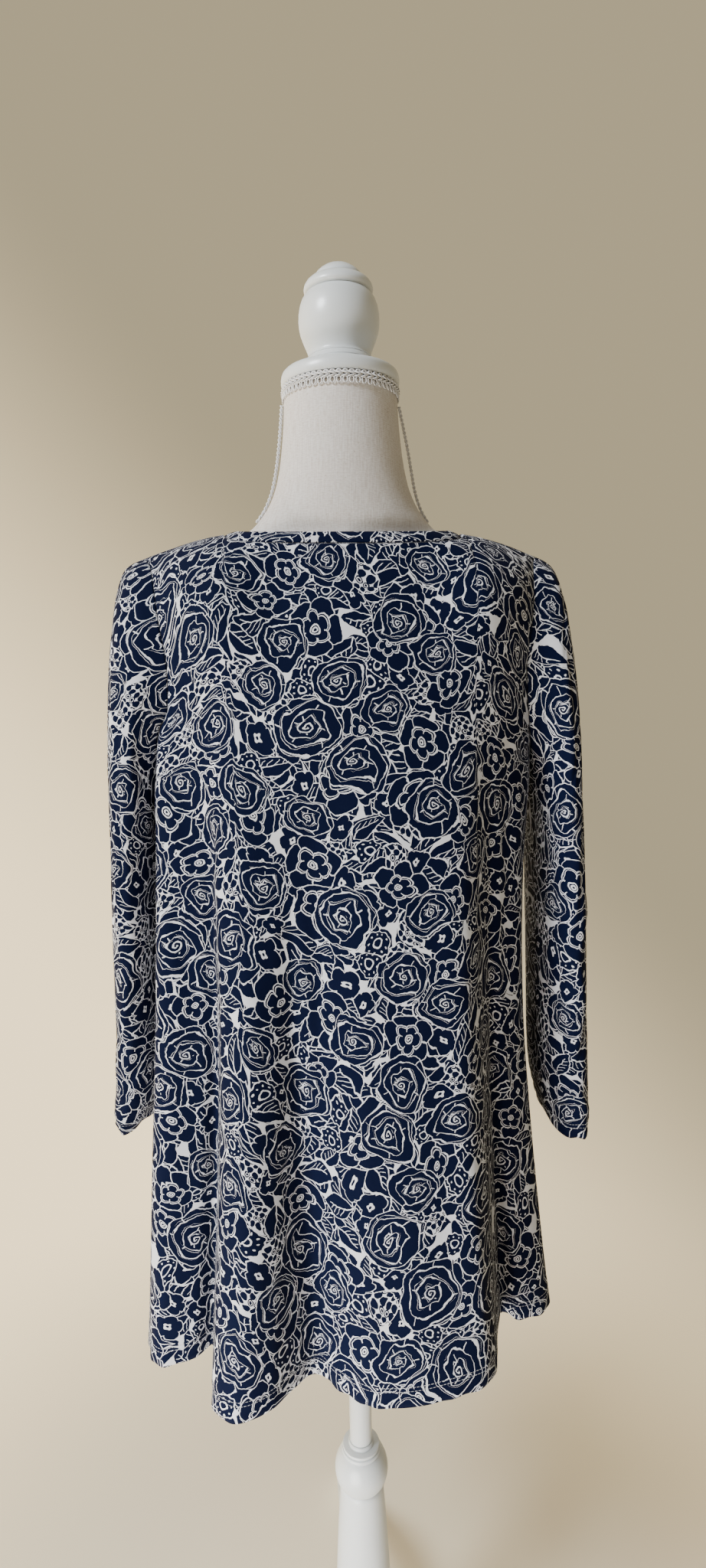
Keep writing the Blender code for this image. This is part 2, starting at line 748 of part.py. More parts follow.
def centre_on_floor(collection):
    """Hangs every piece on one empty and moves it so that the whole part stands over the origin."""
    bpy.context.view_layer.update()
    depsgraph = bpy.context.evaluated_depsgraph_get()
    low, high = np.full(3, np.inf), np.full(3, -np.inf)
    for piece in collection.objects:
        shape = piece.evaluated_get(depsgraph)
        mesh = shape.to_mesh()
        for vertex in mesh.vertices:
            place = np.array(shape.matrix_world @ vertex.co)
            low, high = np.minimum(low, place), np.maximum(high, place)
        shape.to_mesh_clear()
    root = bpy.data.objects.new("root", None)
    bpy.context.scene.collection.objects.link(root)
    for piece in collection.objects:
        piece.parent = root
    root.location = (-(low[0] + high[0]) / 2, -(low[1] + high[1]) / 2, -low[2])


def main():
    clear_scene()
    collection = bpy.data.collections.new("tunic_top_on_dress_form")
    bpy.context.scene.collection.children.link(collection)
    back = make_panel("back_panel", 1, collection)
    front = make_panel("front_panel", -1, collection)
    make_sleeve("sleeve_left", False, collection)
    make_sleeve("sleeve_right", True, collection)
    make_neckband(back, front, collection)
    make_form(collection)
    make_turned("neck_braid", TRIM_PROFILE, 36, "white_braid", collection, closed=True)
    make_cord("neck_cord_left", 1, collection)
    make_cord("neck_cord_right", -1, collection)
    make_turned("neck_cap", CAP_PROFILE, 36, "white_paint", collection)
    make_turned("finial", FINIAL_PROFILE, 28, "white_paint", collection)
    make_pole(collection)
    make_turned("stand_column", COLUMN_PROFILE, 24, "white_paint", collection)
    for number, direction in enumerate(LEG_DIRECTIONS, start=1):
        make_leg(f"leg_{number}", direction, collection)
    centre_on_floor(collection)


main()
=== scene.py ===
"""Looks of a printed tunic top with long sleeves, on a limbless linen dress form and its white turned stand.

Sizes in the tables are millimetres, from the floor and from the axis of the stand's pole.
The tunic's front looks to -Y and its left side is +X. Angles run round the body in degrees:
0 is the left side seam, 90 the middle of the back or front, 180 the right side seam.
"""
from math import cos, pi, radians, sin

import bmesh
import bpy
import numpy as np
from mathutils import Matrix, Vector


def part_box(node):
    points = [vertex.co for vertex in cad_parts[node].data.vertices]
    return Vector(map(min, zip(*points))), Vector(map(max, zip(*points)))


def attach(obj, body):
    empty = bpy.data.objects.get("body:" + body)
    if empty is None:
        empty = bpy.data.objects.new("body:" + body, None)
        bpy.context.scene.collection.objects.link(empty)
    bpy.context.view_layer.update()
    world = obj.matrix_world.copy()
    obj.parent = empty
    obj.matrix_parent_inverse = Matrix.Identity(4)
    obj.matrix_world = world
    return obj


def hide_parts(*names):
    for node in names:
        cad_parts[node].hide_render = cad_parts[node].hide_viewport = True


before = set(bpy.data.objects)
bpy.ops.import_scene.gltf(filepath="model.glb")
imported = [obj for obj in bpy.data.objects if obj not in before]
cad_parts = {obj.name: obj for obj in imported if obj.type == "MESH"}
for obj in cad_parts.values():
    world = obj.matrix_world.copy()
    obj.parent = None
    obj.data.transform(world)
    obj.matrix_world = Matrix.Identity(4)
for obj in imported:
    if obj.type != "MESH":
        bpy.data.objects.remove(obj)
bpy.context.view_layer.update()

MM = 0.001
pole_low, pole_high = (Vector(corner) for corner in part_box("pole"))
AXIS = (pole_low + pole_high) / 2
AXIS.z = 0.0

# The tunic
CLOTH = 0.8
HEM_TURN = 16.0
HEM_EXTRA = 0.7
SEAM_GAP = 0.4
HEM_HEIGHT = 640.0
FLARE_TOP = 1260.0
SHOULDER_TIP = (200.0, 1411.5)
SHOULDER_RISE = 2.5
NECK_SEAM = (118.0, 1434.5)
NECK_EDGE = (105.0, 1438.5)
BACK_NECK_DROP = 17.0
BACK_NECK_DEPTH = 65.0
BACK_NECK_SHAPE = 2.8
FRONT_NECK_DROP = 88.0
FRONT_NECK_DEPTH = 93.0
FRONT_NECK_CURVE = 1.5
FRONT_NECK_SHAPE = 2.2
SHOULDER_ROUND = 90.0
NAPE_SLOPE = 170.0
ARMPIT_HEIGHT = 1200.0
ARMHOLE_HALF_WIDTH = 57.5
BAND_WALL = 1.6
BAND_LIFT = 0.5
BAND_GAP = 0.7

# Rings of the body above the flare: height, half width, depth behind the axis, depth before it, roundness
BODY = (
    (640.0, 168.0, 118.0, 122.0, 2.3),
    (900.0, 169.0, 118.0, 122.0, 2.3),
    (1000.0, 173.0, 117.0, 122.0, 2.3),
    (1100.0, 180.0, 116.0, 124.0, 2.3),
    (1200.0, 188.0, 115.0, 127.0, 2.3),
    (1300.0, 191.0, 113.0, 119.0, 2.3),
    (1360.0, 197.0, 110.0, 107.0, 2.3),
    (1409.0, 200.0, 105.0, 96.0, 2.3),
    (1440.0, 200.0, 100.0, 90.0, 2.3),
)

# The hem as it hangs, behind: angle at the chest above this point, distance to the left, distance behind,
# and how fast the fold here fades going up
BACK_HEM = (
    (0.0, 205.0, 0.0, 2.2),
    (4.0, 211.0, 22.0, 2.0),
    (8.0, 217.0, 48.0, 1.3),
    (13.0, 220.5, 76.0, 0.8),
    (20.0, 216.0, 109.0, 0.6),
    (29.0, 200.0, 127.0, 0.8),
    (38.5, 171.0, 120.0, 1.1),
    (44.5, 155.0, 104.0, 1.15),
    (46.8, 153.0, 129.0, 1.15),
    (49.2, 152.0, 167.0, 1.1),
    (52.8, 142.0, 185.0, 1.1),
    (58.5, 125.0, 192.5, 1.1),
    (67.0, 97.0, 184.0, 1.2),
    (74.0, 73.0, 163.0, 1.4),
    (79.0, 54.0, 152.0, 1.5),
    (84.0, 32.0, 170.0, 1.4),
    (90.5, -1.0, 191.0, 1.2),
    (99.0, -36.0, 194.0, 1.1),
    (107.5, -70.0, 191.0, 1.1),
    (116.5, -101.5, 183.0, 1.0),
    (121.5, -117.0, 163.5, 1.0),
    (126.0, -129.0, 123.0, 1.0),
    (130.0, -140.5, 96.0, 1.0),
    (137.0, -155.5, 108.5, 1.2),
    (147.0, -175.5, 105.5, 1.4),
    (157.0, -191.0, 96.0, 1.6),
    (167.0, -199.0, 64.0, 2.0),
    (174.0, -203.0, 30.0, 2.3),
    (180.0, -204.0, 0.0, 2.4),
)

# The hem as it hangs, in front, in the same columns with the distance before the axis
FRONT_HEM = (
    (0.0, 205.0, 0.0, 2.2),
    (5.0, 199.0, 26.0, 2.2),
    (11.0, 193.0, 50.0, 1.9),
    (19.0, 186.0, 74.0, 1.6),
    (27.0, 174.0, 92.0, 1.3),
    (35.0, 157.0, 98.0, 1.1),
    (43.0, 141.0, 92.0, 1.1),
    (50.0, 127.0, 100.0, 1.1),
    (57.0, 110.0, 122.0, 1.0),
    (64.0, 91.0, 134.0, 1.0),
    (71.0, 72.0, 128.0, 1.1),
    (78.0, 51.0, 116.0, 1.2),
    (84.0, 30.0, 124.0, 1.1),
    (90.0, 6.0, 142.0, 1.0),
    (96.0, -20.0, 146.0, 1.0),
    (102.0, -44.0, 136.0, 1.1),
    (109.0, -66.0, 124.0, 1.2),
    (116.0, -86.0, 132.0, 1.1),
    (123.0, -108.0, 143.0, 1.0),
    (130.0, -130.0, 136.0, 1.0),
    (137.0, -150.0, 116.0, 1.1),
    (145.0, -166.0, 104.0, 1.3),
    (153.0, -183.0, 106.0, 1.6),
    (161.0, -198.0, 94.0, 1.9),
    (168.0, -207.0, 68.0, 2.2),
    (174.0, -208.0, 34.0, 2.4),
    (180.0, -204.0, 0.0, 2.4),
)

# Rings of a sleeve after the armhole: outer point (out, height), inner point (out, height), half width
SLEEVE = (
    (212.0, 1407.0, 190.4, 1190.0, 60.0),
    (222.0, 1399.0, 192.2, 1178.0, 62.0),
    (229.5, 1381.0, 193.5, 1164.0, 63.5),
    (235.0, 1355.0, 194.5, 1148.0, 64.5),
    (239.5, 1323.0, 195.5, 1130.0, 65.0),
    (243.0, 1285.0, 196.5, 1110.0, 65.0),
    (245.5, 1240.0, 197.5, 1088.0, 64.5),
    (247.5, 1190.0, 198.5, 1062.0, 63.5),
    (249.5, 1135.0, 199.5, 1032.0, 62.5),
    (251.5, 1078.0, 200.3, 1002.0, 61.0),
    (253.0, 1020.0, 201.0, 968.0, 59.0),
    (254.5, 965.0, 201.5, 932.0, 57.0),
    (256.0, 915.0, 202.0, 896.0, 55.0),
    (257.0, 870.0, 203.0, 862.0, 53.0),
    (256.0, 840.0, 208.0, 838.0, 51.0),
    (254.0, 818.0, 212.0, 818.0, 50.0),
)
BOW_RINGS = 4
LEFT_HANG = (7.0, -26.0, radians(14.0))
RIGHT_HANG = (13.0, 29.0, radians(9.0))
HANG_GROWTH = 1.3
RIGHT_FULLNESS = 6.0
FULLEST_RING = 13
FULL_RINGS = 7.0

# How each cuff crumples: pushed out, drooping on its inner side, drawn in at the hem, and where its bumps lie
LEFT_CUFF = (9.0, 2.0, 0.20, 0.8)
RIGHT_CUFF = (0.0, 15.0, 0.09, 2.1)

# Small creases of the panels: from (across, height) to (across, height), half width,
# depth (minus is a trough)
BACK_CREASES = (
    (178.0, 1215.0, 120.0, 1120.0, 9.0, -2.2),
    (183.0, 1190.0, 138.0, 1045.0, 8.0, 1.8),
    (186.0, 1160.0, 160.0, 1000.0, 7.0, -2.0),
    (-176.0, 1225.0, -118.0, 1150.0, 9.0, -2.4),
    (-180.0, 1195.0, -128.0, 1060.0, 8.0, 1.8),
    (-150.0, 1240.0, -142.0, 960.0, 8.0, -2.6),
    (-163.0, 1180.0, -158.0, 930.0, 7.0, 2.0),
    (118.0, 1330.0, 112.0, 1130.0, 12.0, 1.6),
    (86.0, 1290.0, 78.0, 1010.0, 15.0, -1.6),
    (28.0, 1160.0, 20.0, 800.0, 18.0, 1.6),
    (-22.0, 1120.0, -40.0, 820.0, 16.0, -1.8),
    (-70.0, 1200.0, -84.0, 900.0, 14.0, 1.6),
    (130.0, 1010.0, 146.0, 700.0, 9.0, -1.8),
    (74.0, 1060.0, 58.0, 640.0, 19.0, -5.5),
    (66.0, 1090.0, 52.0, 640.0, 8.0, -3.2),
    (54.0, 1080.0, 41.0, 640.0, 8.0, 2.6),
    (106.0, 1010.0, 113.0, 640.0, 16.0, 3.4),
    (34.0, 990.0, 22.0, 640.0, 20.0, 3.2),
    (-62.0, 980.0, -70.0, 650.0, 20.0, -2.6),
    (-95.0, 960.0, -112.0, 690.0, 10.0, -1.6),
    (-108.0, 1392.0, -60.0, 1345.0, 10.0, -1.4),
    (112.0, 1395.0, 62.0, 1350.0, 10.0, -1.4),
    (0.0, 1395.0, 4.0, 1300.0, 22.0, 0.8),
)
FRONT_CREASES = (
    (176.0, 1210.0, 110.0, 1130.0, 9.0, -2.2),
    (182.0, 1180.0, 136.0, 1040.0, 8.0, 1.8),
    (-176.0, 1215.0, -116.0, 1140.0, 9.0, -2.2),
    (-180.0, 1185.0, -134.0, 1050.0, 8.0, 1.8),
    (112.0, 1320.0, 104.0, 1100.0, 12.0, 1.6),
    (-112.0, 1325.0, -106.0, 1110.0, 12.0, 1.6),
    (70.0, 1240.0, 60.0, 960.0, 15.0, -1.6),
    (-64.0, 1230.0, -76.0, 940.0, 15.0, -1.6),
    (20.0, 1120.0, 12.0, 800.0, 16.0, 1.5),
    (-24.0, 1080.0, -34.0, 780.0, 14.0, -1.5),
    (96.0, 980.0, 108.0, 690.0, 11.0, 1.6),
    (-98.0, 960.0, -112.0, 700.0, 11.0, -1.6),
)

# Creases of the sleeves: from (angle round, share of the length) to the same, half width, depth
LEFT_SLEEVE_CREASES = (
    (60.0, 0.08, 96.0, 0.62, 9.0, -2.6),
    (88.0, 0.10, 118.0, 0.40, 8.0, 2.0),
    (130.0, 0.12, 80.0, 0.30, 8.0, -2.2),
    (150.0, 0.20, 96.0, 0.40, 8.0, 2.0),
    (30.0, 0.50, 74.0, 0.72, 9.0, -2.0),
    (120.0, 0.60, 60.0, 0.84, 9.0, 2.2),
    (140.0, 0.72, 70.0, 0.93, 8.0, -2.4),
    (20.0, 0.80, 100.0, 0.90, 7.0, 1.8),
    (100.0, 0.88, 40.0, 0.97, 6.0, -1.6),
    (-60.0, 0.10, -96.0, 0.55, 9.0, -2.4),
    (-130.0, 0.15, -84.0, 0.36, 8.0, 2.0),
    (-40.0, 0.55, -100.0, 0.78, 9.0, -2.2),
    (-130.0, 0.72, -70.0, 0.92, 8.0, 2.0),
)
RIGHT_SLEEVE_CREASES = (
    (50.0, 0.06, 84.0, 0.50, 9.0, -2.4),
    (80.0, 0.14, 110.0, 0.46, 8.0, 2.0),
    (140.0, 0.14, 86.0, 0.32, 8.0, -2.4),
    (150.0, 0.30, 92.0, 0.48, 8.0, 2.0),
    (40.0, 0.44, 100.0, 0.66, 9.0, -2.2),
    (130.0, 0.58, 66.0, 0.76, 9.0, 2.2),
    (40.0, 0.74, 112.0, 0.86, 8.0, -2.6),
    (130.0, 0.82, 50.0, 0.95, 7.0, 2.2),
    (-56.0, 0.12, -90.0, 0.60, 9.0, -2.4),
    (-126.0, 0.20, -84.0, 0.40, 8.0, 2.0),
    (-50.0, 0.60, -110.0, 0.82, 9.0, -2.2),
    (-120.0, 0.78, -60.0, 0.94, 8.0, 2.0),
)

# The dress form's rings: height, half width, depth behind the axis, depth before it, roundness
FORM = (
    (800.0, 146.0, 104.0, 96.0, 2.2),
    (812.0, 152.0, 108.0, 100.0, 2.2),
    (870.0, 158.0, 110.0, 104.0, 2.2),
    (940.0, 155.0, 107.0, 103.0, 2.2),
    (1005.0, 142.0, 96.0, 98.0, 2.2),
    (1070.0, 130.0, 88.0, 95.0, 2.2),
    (1130.0, 138.0, 92.0, 108.0, 2.2),
    (1190.0, 156.0, 102.0, 119.0, 2.2),
    (1250.0, 168.0, 102.0, 111.0, 2.2),
    (1300.0, 172.0, 97.5, 100.0, 2.2),
    (1340.0, 174.0, 88.0, 86.0, 2.1),
    (1370.0, 174.0, 76.0, 74.0, 1.9),
    (1392.0, 172.0, 66.0, 64.0, 1.65),
    (1406.0, 165.0, 59.5, 58.0, 1.5),
    (1416.0, 154.0, 56.0, 55.0, 1.4),
    (1424.0, 137.0, 54.0, 53.5, 1.33),
    (1431.0, 113.5, 53.0, 53.5, 1.38),
    (1437.0, 95.0, 52.5, 54.0, 1.7),
    (1445.0, 85.5, 53.0, 54.0, 1.95),
    (1463.0, 72.5, 53.5, 54.5, 2.0),
    (1482.0, 65.0, 54.0, 54.5, 2.0),
    (1507.0, 60.0, 54.5, 55.0, 2.0),
    (1540.0, 56.5, 55.0, 55.0, 2.0),
    (1572.4, 54.8, 54.8, 54.8, 2.0),
)

# Turned pieces, from top to bottom: radius, height
CAP_PROFILE = (
    (0.0, 1586.6),
    (52.0, 1586.6),
    (54.6, 1585.9),
    (56.2, 1584.4),
    (57.2, 1582.0),
    (57.7, 1579.4),
    (57.7, 1576.2),
    (57.2, 1574.0),
    (56.2, 1572.9),
    (0.0, 1572.8),
)
FINIAL_PROFILE = (
    (0.0, 1685.0),
    (5.0, 1684.8),
    (10.0, 1683.9),
    (14.6, 1682.0),
    (18.4, 1679.4),
    (21.4, 1676.6),
    (22.9, 1674.6),
    (23.3, 1673.0),
    (22.9, 1672.2),
    (25.2, 1671.7),
    (28.2, 1670.2),
    (31.0, 1667.8),
    (32.8, 1665.0),
    (33.4, 1662.4),
    (33.2, 1660.6),
    (32.2, 1659.3),
    (30.2, 1658.3),
    (31.0, 1657.7),
    (32.8, 1656.4),
    (35.6, 1652.0),
    (37.6, 1646.6),
    (38.9, 1640.0),
    (39.2, 1633.5),
    (38.8, 1627.8),
    (37.6, 1622.2),
    (35.6, 1616.6),
    (33.3, 1611.2),
    (31.3, 1606.6),
    (30.4, 1603.4),
    (30.6, 1601.4),
    (31.6, 1599.9),
    (31.2, 1599.4),
    (32.6, 1597.6),
    (33.4, 1595.2),
    (33.0, 1594.5),
    (34.4, 1593.4),
    (35.2, 1590.6),
    (35.2, 1586.9),
    (0.0, 1586.9),
)
COLUMN_PROFILE = (
    (0.0, 404.0),
    (13.6, 404.0),
    (14.6, 403.0),
    (14.9, 401.0),
    (14.9, 399.7),
    (19.8, 399.5),
    (21.2, 398.9),
    (21.7, 397.5),
    (21.3, 395.9),
    (20.7, 395.2),
    (22.2, 394.8),
    (23.0, 393.6),
    (22.9, 392.0),
    (22.3, 391.0),
    (24.1, 389.4),
    (26.2, 386.0),
    (28.4, 381.0),
    (30.2, 376.0),
    (31.1, 371.0),
    (31.2, 366.0),
    (30.7, 361.2),
    (29.6, 356.8),
    (28.0, 353.0),
    (26.2, 350.2),
    (24.3, 348.3),
    (23.5, 347.5),
    (24.4, 346.6),
    (25.3, 344.8),
    (25.8, 339.0),
    (26.4, 329.0),
    (27.4, 313.0),
    (28.6, 294.0),
    (29.7, 274.0),
    (30.8, 252.0),
    (31.8, 230.0),
    (32.8, 208.0),
    (33.7, 188.0),
    (34.4, 175.0),
    (35.4, 171.0),
    (36.8, 168.4),
    (37.0, 166.0),
    (37.0, 96.0),
    (36.2, 90.4),
    (33.0, 84.0),
    (29.0, 79.8),
    (25.6, 78.0),
    (0.0, 78.0),
)
POLE_RADIUS = 13.0
POLE_BOTTOM = 404.3
POLE_TOP = 799.7
TURNED_STEPS = 96

# The braid under the cap: radii and heights of its band, and the loops along its two edges
BRAID_INNER = 55.0
BRAID_OUTER = 56.3
BRAID_LOW = 1565.0
BRAID_HIGH = 1570.4
BRAID_FACE = 56.7
BRAID_LOOPS = 60
LOOP_THREAD = 0.72

# The twisted cord down each side of the neck
CORD_RADIUS = 1.5
CORD_TOP = 1557.0
CORD_FOOT = 1447.0
CORD_OUT = 2.2
LEFT_SLACK = 1.0
RIGHT_SLACK = 5.5
CORD_PITCH = 8.0

# A leg of the stand: distance from the column's axis, top, bottom, half width
LEG = (
    (37.4, 160.0, 100.0, 14.0),
    (62.0, 161.0, 106.0, 14.0),
    (100.0, 153.0, 106.0, 13.5),
    (140.0, 132.0, 91.0, 13.0),
    (180.0, 103.0, 66.0, 12.5),
    (220.0, 70.0, 36.0, 12.0),
    (250.0, 46.0, 12.0, 12.5),
    (268.0, 36.0, 0.0, 13.5),
    (300.0, 27.0, 0.0, 14.0),
    (312.0, 19.0, 0.0, 11.0),
)
LEG_CORNER = 4.0
LEG_DIRECTIONS = (30.0, 150.0, 270.0)

# Stitch lines: length of a stitch, space from one to the next, radius of the thread
STITCH_LENGTH = 2.3
STITCH_STEP = 3.4
THREAD = 0.22
# The neck's stitches are thicker and near black: a real stitch row that also paints the shadow line of the neck seam
NECK_STITCH_LENGTH = 3.0
NECK_THREAD = 0.42
NECK_STITCH_DOWN = 5.6

# The print: its size against the motifs' own millimetres
PRINT_SCALE = 0.93

# Colours, as light reflected
NAVY = (0.0018, 0.0044, 0.0225)
CLOTH_WHITE = (0.775, 0.792, 0.865)
LINEN = (0.770, 0.745, 0.715)
PAINT = (0.700, 0.745, 0.785)
BRAID_WHITE = (0.830, 0.835, 0.860)


def smooth_table(rows, column, at):
    """A column of a table at these places in its first column, as a smooth curve with no overshoot."""
    keys = np.array([row[0] for row in rows])
    values = np.array([row[column] for row in rows])
    at = np.clip(at, keys[0], keys[-1])
    rises = np.diff(values) / np.diff(keys)
    before = np.concatenate((rises[:1], rises))
    after = np.concatenate((rises, rises[-1:]))
    total = np.where(np.abs(before + after) > 1e-12, before + after, 1.0)
    slopes = np.where(before * after > 0, 2 * before * after / total, 0.0)
    spot = np.clip(np.searchsorted(keys, at, side="right") - 1, 0, len(keys) - 2)
    span = keys[spot + 1] - keys[spot]
    t = (at - keys[spot]) / span
    return (
        values[spot] * (1 + 2 * t) * (1 - t) ** 2
        + slopes[spot] * span * t * (1 - t) ** 2
        + values[spot + 1] * t * t * (3 - 2 * t)
        + slopes[spot + 1] * span * t * t * (t - 1)
    )


def oval(rows, angle, height, side):
    """Points on oval rings whose sides are squarer the higher their roundness is."""
    half_width = smooth_table(rows, 1, height)
    depth = smooth_table(rows, 2 if side > 0 else 3, height)
    power = 2 / smooth_table(rows, 4, height)
    across = np.cos(np.radians(angle))
    along = np.maximum(np.sin(np.radians(angle)), 0.0)
    return half_width * np.abs(across) ** power * np.sign(across), depth * along**power


def neckline_share(x, side):
    share = np.minimum(np.abs(x) / NECK_SEAM[0], 1.0)
    shape = BACK_NECK_SHAPE if side > 0 else FRONT_NECK_SHAPE
    return np.maximum(1 - share**shape, 0.0) ** (1 / shape)


def top_edge(x, side):
    """Depth and height of the panel's top edge: the shoulder seam, then the neckline."""
    along = (np.abs(x) - NECK_SEAM[0]) / (SHOULDER_TIP[0] - NECK_SEAM[0])
    rise = 4 * SHOULDER_RISE * along * (1 - along)
    shoulder = NECK_SEAM[1] + along * (SHOULDER_TIP[1] - NECK_SEAM[1]) + rise
    share = neckline_share(x, side)
    if side > 0:
        depth = BACK_NECK_DEPTH * share
        neck = NECK_SEAM[1] - BACK_NECK_DROP * share
    else:
        depth = FRONT_NECK_DEPTH * share
        neck = NECK_SEAM[1] - FRONT_NECK_DROP * share**FRONT_NECK_CURVE
    on_seam = np.abs(x) >= NECK_SEAM[0]
    return np.where(on_seam, 0.0, depth), np.where(on_seam, shoulder, neck)


def body_points(angle, height, side):
    """The tunic's outer face: side is 1 on the back and -1 on the front."""
    angle, height = np.broadcast_arrays(np.asarray(angle, float), np.asarray(height, float))
    x, depth = oval(BODY, angle, height, side)
    edge_depth, edge_height = top_edge(x, side)
    below = np.maximum(edge_height - height, 0.0)
    on_shoulder = np.clip((np.abs(x) - 60.0) / 70.0, 0.0, 1.0)
    on_shoulder = on_shoulder * on_shoulder * (3 - 2 * on_shoulder)
    round_rise = (1 - (1 - np.minimum(below / SHOULDER_ROUND, 1.0)) ** 2) ** 0.5
    nape_rise = 1 - (1 - np.minimum(below / NAPE_SLOPE, 1.0)) ** 1.8
    rise = on_shoulder * round_rise + (1 - on_shoulder) * nape_rise
    depth = edge_depth + (depth - edge_depth) * rise
    hem = BACK_HEM if side > 0 else FRONT_HEM
    lowered = np.maximum(FLARE_TOP - height, 0.0) / (FLARE_TOP - HEM_HEIGHT)
    flare = lowered ** smooth_table(hem, 3, angle)
    x = x + flare * (smooth_table(hem, 1, angle) - x)
    depth = depth + flare * (smooth_table(hem, 2, angle) - depth)
    return np.stack((x, side * depth, height), axis=-1)


def armhole_height(turn):
    middle = (SHOULDER_TIP[1] + ARMPIT_HEIGHT) / 2
    return middle + (SHOULDER_TIP[1] - ARMPIT_HEIGHT) / 2 * np.cos(np.radians(turn))


def armhole_angle(turn, side, right):
    """Angles round the body of the armhole's edge, found by halving the interval."""
    height = armhole_height(turn)
    wanted = ARMHOLE_HALF_WIDTH * np.sin(np.radians(turn))
    low, high = np.zeros_like(height), np.full_like(height, 60.0)
    for _ in range(40):
        middle = (low + high) / 2
        at = body_points(180 - middle if right else middle, height, side)
        short = np.abs(at[..., 1]) < wanted
        low, high = np.where(short, middle, low), np.where(short, high, middle)
    return np.where(np.sin(np.radians(turn)) < 1e-6, 0.0, (low + high) / 2)


def unit(vectors):
    return vectors / np.maximum(np.linalg.norm(vectors, axis=-1, keepdims=True), 1e-9)


def grid_normals(grid, closed):
    up = np.gradient(grid, axis=0)
    if closed:
        along = np.roll(grid, -1, axis=1) - np.roll(grid, 1, axis=1)
    else:
        along = np.gradient(grid, axis=1)
    return unit(np.cross(along, up))


def crease(places, creases):
    """Height of all the creases at these places: soft ridges and troughs that fade at both ends."""
    raised = np.zeros(places.shape[:-1])
    for x0, z0, x1, z1, width, depth in creases:
        start, run = np.array((x0, z0)), np.array((x1 - x0, z1 - z0))
        t = ((places - start) @ run) / (run @ run)
        held = np.clip(t, 0.0, 1.0)
        off = np.linalg.norm(places - start - held[..., None] * run, axis=-1)
        fade = np.sin(np.pi * np.clip(t * 0.9 + 0.05, 0.0, 1.0)) ** 0.7
        raised += depth * fade * np.exp(-((off / width) ** 2))
    return raised


def build(name, points, faces, uvs=None, indices=None, finishes=()):
    """A mesh in place in the row's frame, from points in millimetres about the pole's axis."""
    mesh = bpy.data.meshes.new(name)
    placed = np.asarray(points, float) * MM + np.array(AXIS)
    mesh.from_pydata(placed.tolist(), [], faces)
    for finish in finishes:
        mesh.materials.append(finish)
    if indices is not None:
        mesh.polygons.foreach_set("material_index", indices)
    if uvs is not None:
        layer = mesh.uv_layers.new(name="cloth")
        corners = np.empty(len(mesh.loops), dtype=np.int32)
        mesh.loops.foreach_get("vertex_index", corners)
        layer.data.foreach_set("uv", (np.asarray(uvs)[corners] * MM).ravel())
    mesh.shade_smooth()
    made = bpy.data.objects.new(name, mesh)
    bpy.context.scene.collection.objects.link(made)
    return made


def cloth_shell(name, outer, normals, thickness, uv, finishes, closed):
    """Two faces of cloth and the narrow rim that joins them; the second finish is the wrong side's.

    On a closed tube the places on the cloth have one more column, for the far side of its seam.
    """
    rows, columns = outer.shape[:2]
    uv, lap = uv[:, :columns], uv[:, -1]
    inner = outer - normals * thickness[..., None]
    points = np.concatenate((outer.reshape(-1, 3), inner.reshape(-1, 3)))
    uvs = np.concatenate((uv.reshape(-1, 2), uv.reshape(-1, 2)))
    inside = rows * columns
    grid = np.arange(inside).reshape(rows, columns)
    if closed:
        seam = inside * 2 + np.arange(rows)
        seam_inside = seam + rows
        points = np.concatenate((points, outer[:, 0], inner[:, 0]))
        uvs = np.concatenate((uvs, lap, lap))
        grid = np.concatenate((grid, seam[:, None]), axis=1)
        inner = np.arange(inside).reshape(rows, columns) + inside
        within = np.concatenate((inner, seam_inside[:, None]), axis=1)
    else:
        within = grid + inside
    a, b, c, d = (g.ravel() for g in (grid[:-1, :-1], grid[:-1, 1:], grid[1:, 1:], grid[1:, :-1]))
    e, f, g, h = (g.ravel() for g in (within[:-1, :-1], within[:-1, 1:], within[1:, 1:], within[1:, :-1]))
    faces = np.concatenate((np.stack((a, b, c, d), 1), np.stack((h, g, f, e), 1)))
    indices = np.concatenate((np.zeros(len(a), int), np.ones(len(a), int)))
    rims = [
        (grid[0, 1:], grid[0, :-1], within[0, :-1], within[0, 1:]),
        (grid[-1, :-1], grid[-1, 1:], within[-1, 1:], within[-1, :-1]),
    ]
    if not closed:
        rims += [
            (grid[:-1, 0], grid[1:, 0], within[1:, 0], within[:-1, 0]),
            (grid[1:, -1], grid[:-1, -1], within[:-1, -1], within[1:, -1]),
        ]
    for rim in rims:
        faces = np.concatenate((faces, np.stack(rim, 1)))
        indices = np.concatenate((indices, np.zeros(len(rim[0]), int)))
    made = build(name, points, faces.tolist(), uvs, indices, finishes)
    tidy = bmesh.new()
    tidy.from_mesh(made.data)
    bmesh.ops.remove_doubles(tidy, verts=tidy.verts, dist=1e-7)
    if tidy.calc_volume(signed=True) < 0:
        bmesh.ops.reverse_faces(tidy, faces=tidy.faces)
    tidy.to_mesh(made.data)
    tidy.free()
    return made


def run_length(points, axis):
    steps = np.linalg.norm(np.diff(points, axis=axis), axis=-1)
    start = np.zeros_like(np.take(steps, [0], axis=axis))
    return np.concatenate((start, np.cumsum(steps, axis=axis)), axis=axis)


def even_angles(side, count):
    """Columns of a panel, close together where the skirt's folds are."""
    dense = np.linspace(0.0, 180.0, 3001)
    low = run_length(body_points(dense, HEM_HEIGHT + 30.0, side), 0)
    high = run_length(body_points(dense, 1180.0, side), 0)
    mixed = 0.6 * low / low[-1] + 0.4 * high / high[-1]
    return np.interp(np.linspace(0.0, 1.0, count), mixed, dense)


def neck_corner():
    across = NECK_SEAM[0] / SHOULDER_TIP[0]
    return np.degrees(np.arccos(across ** (BODY[0][4] / 2)))


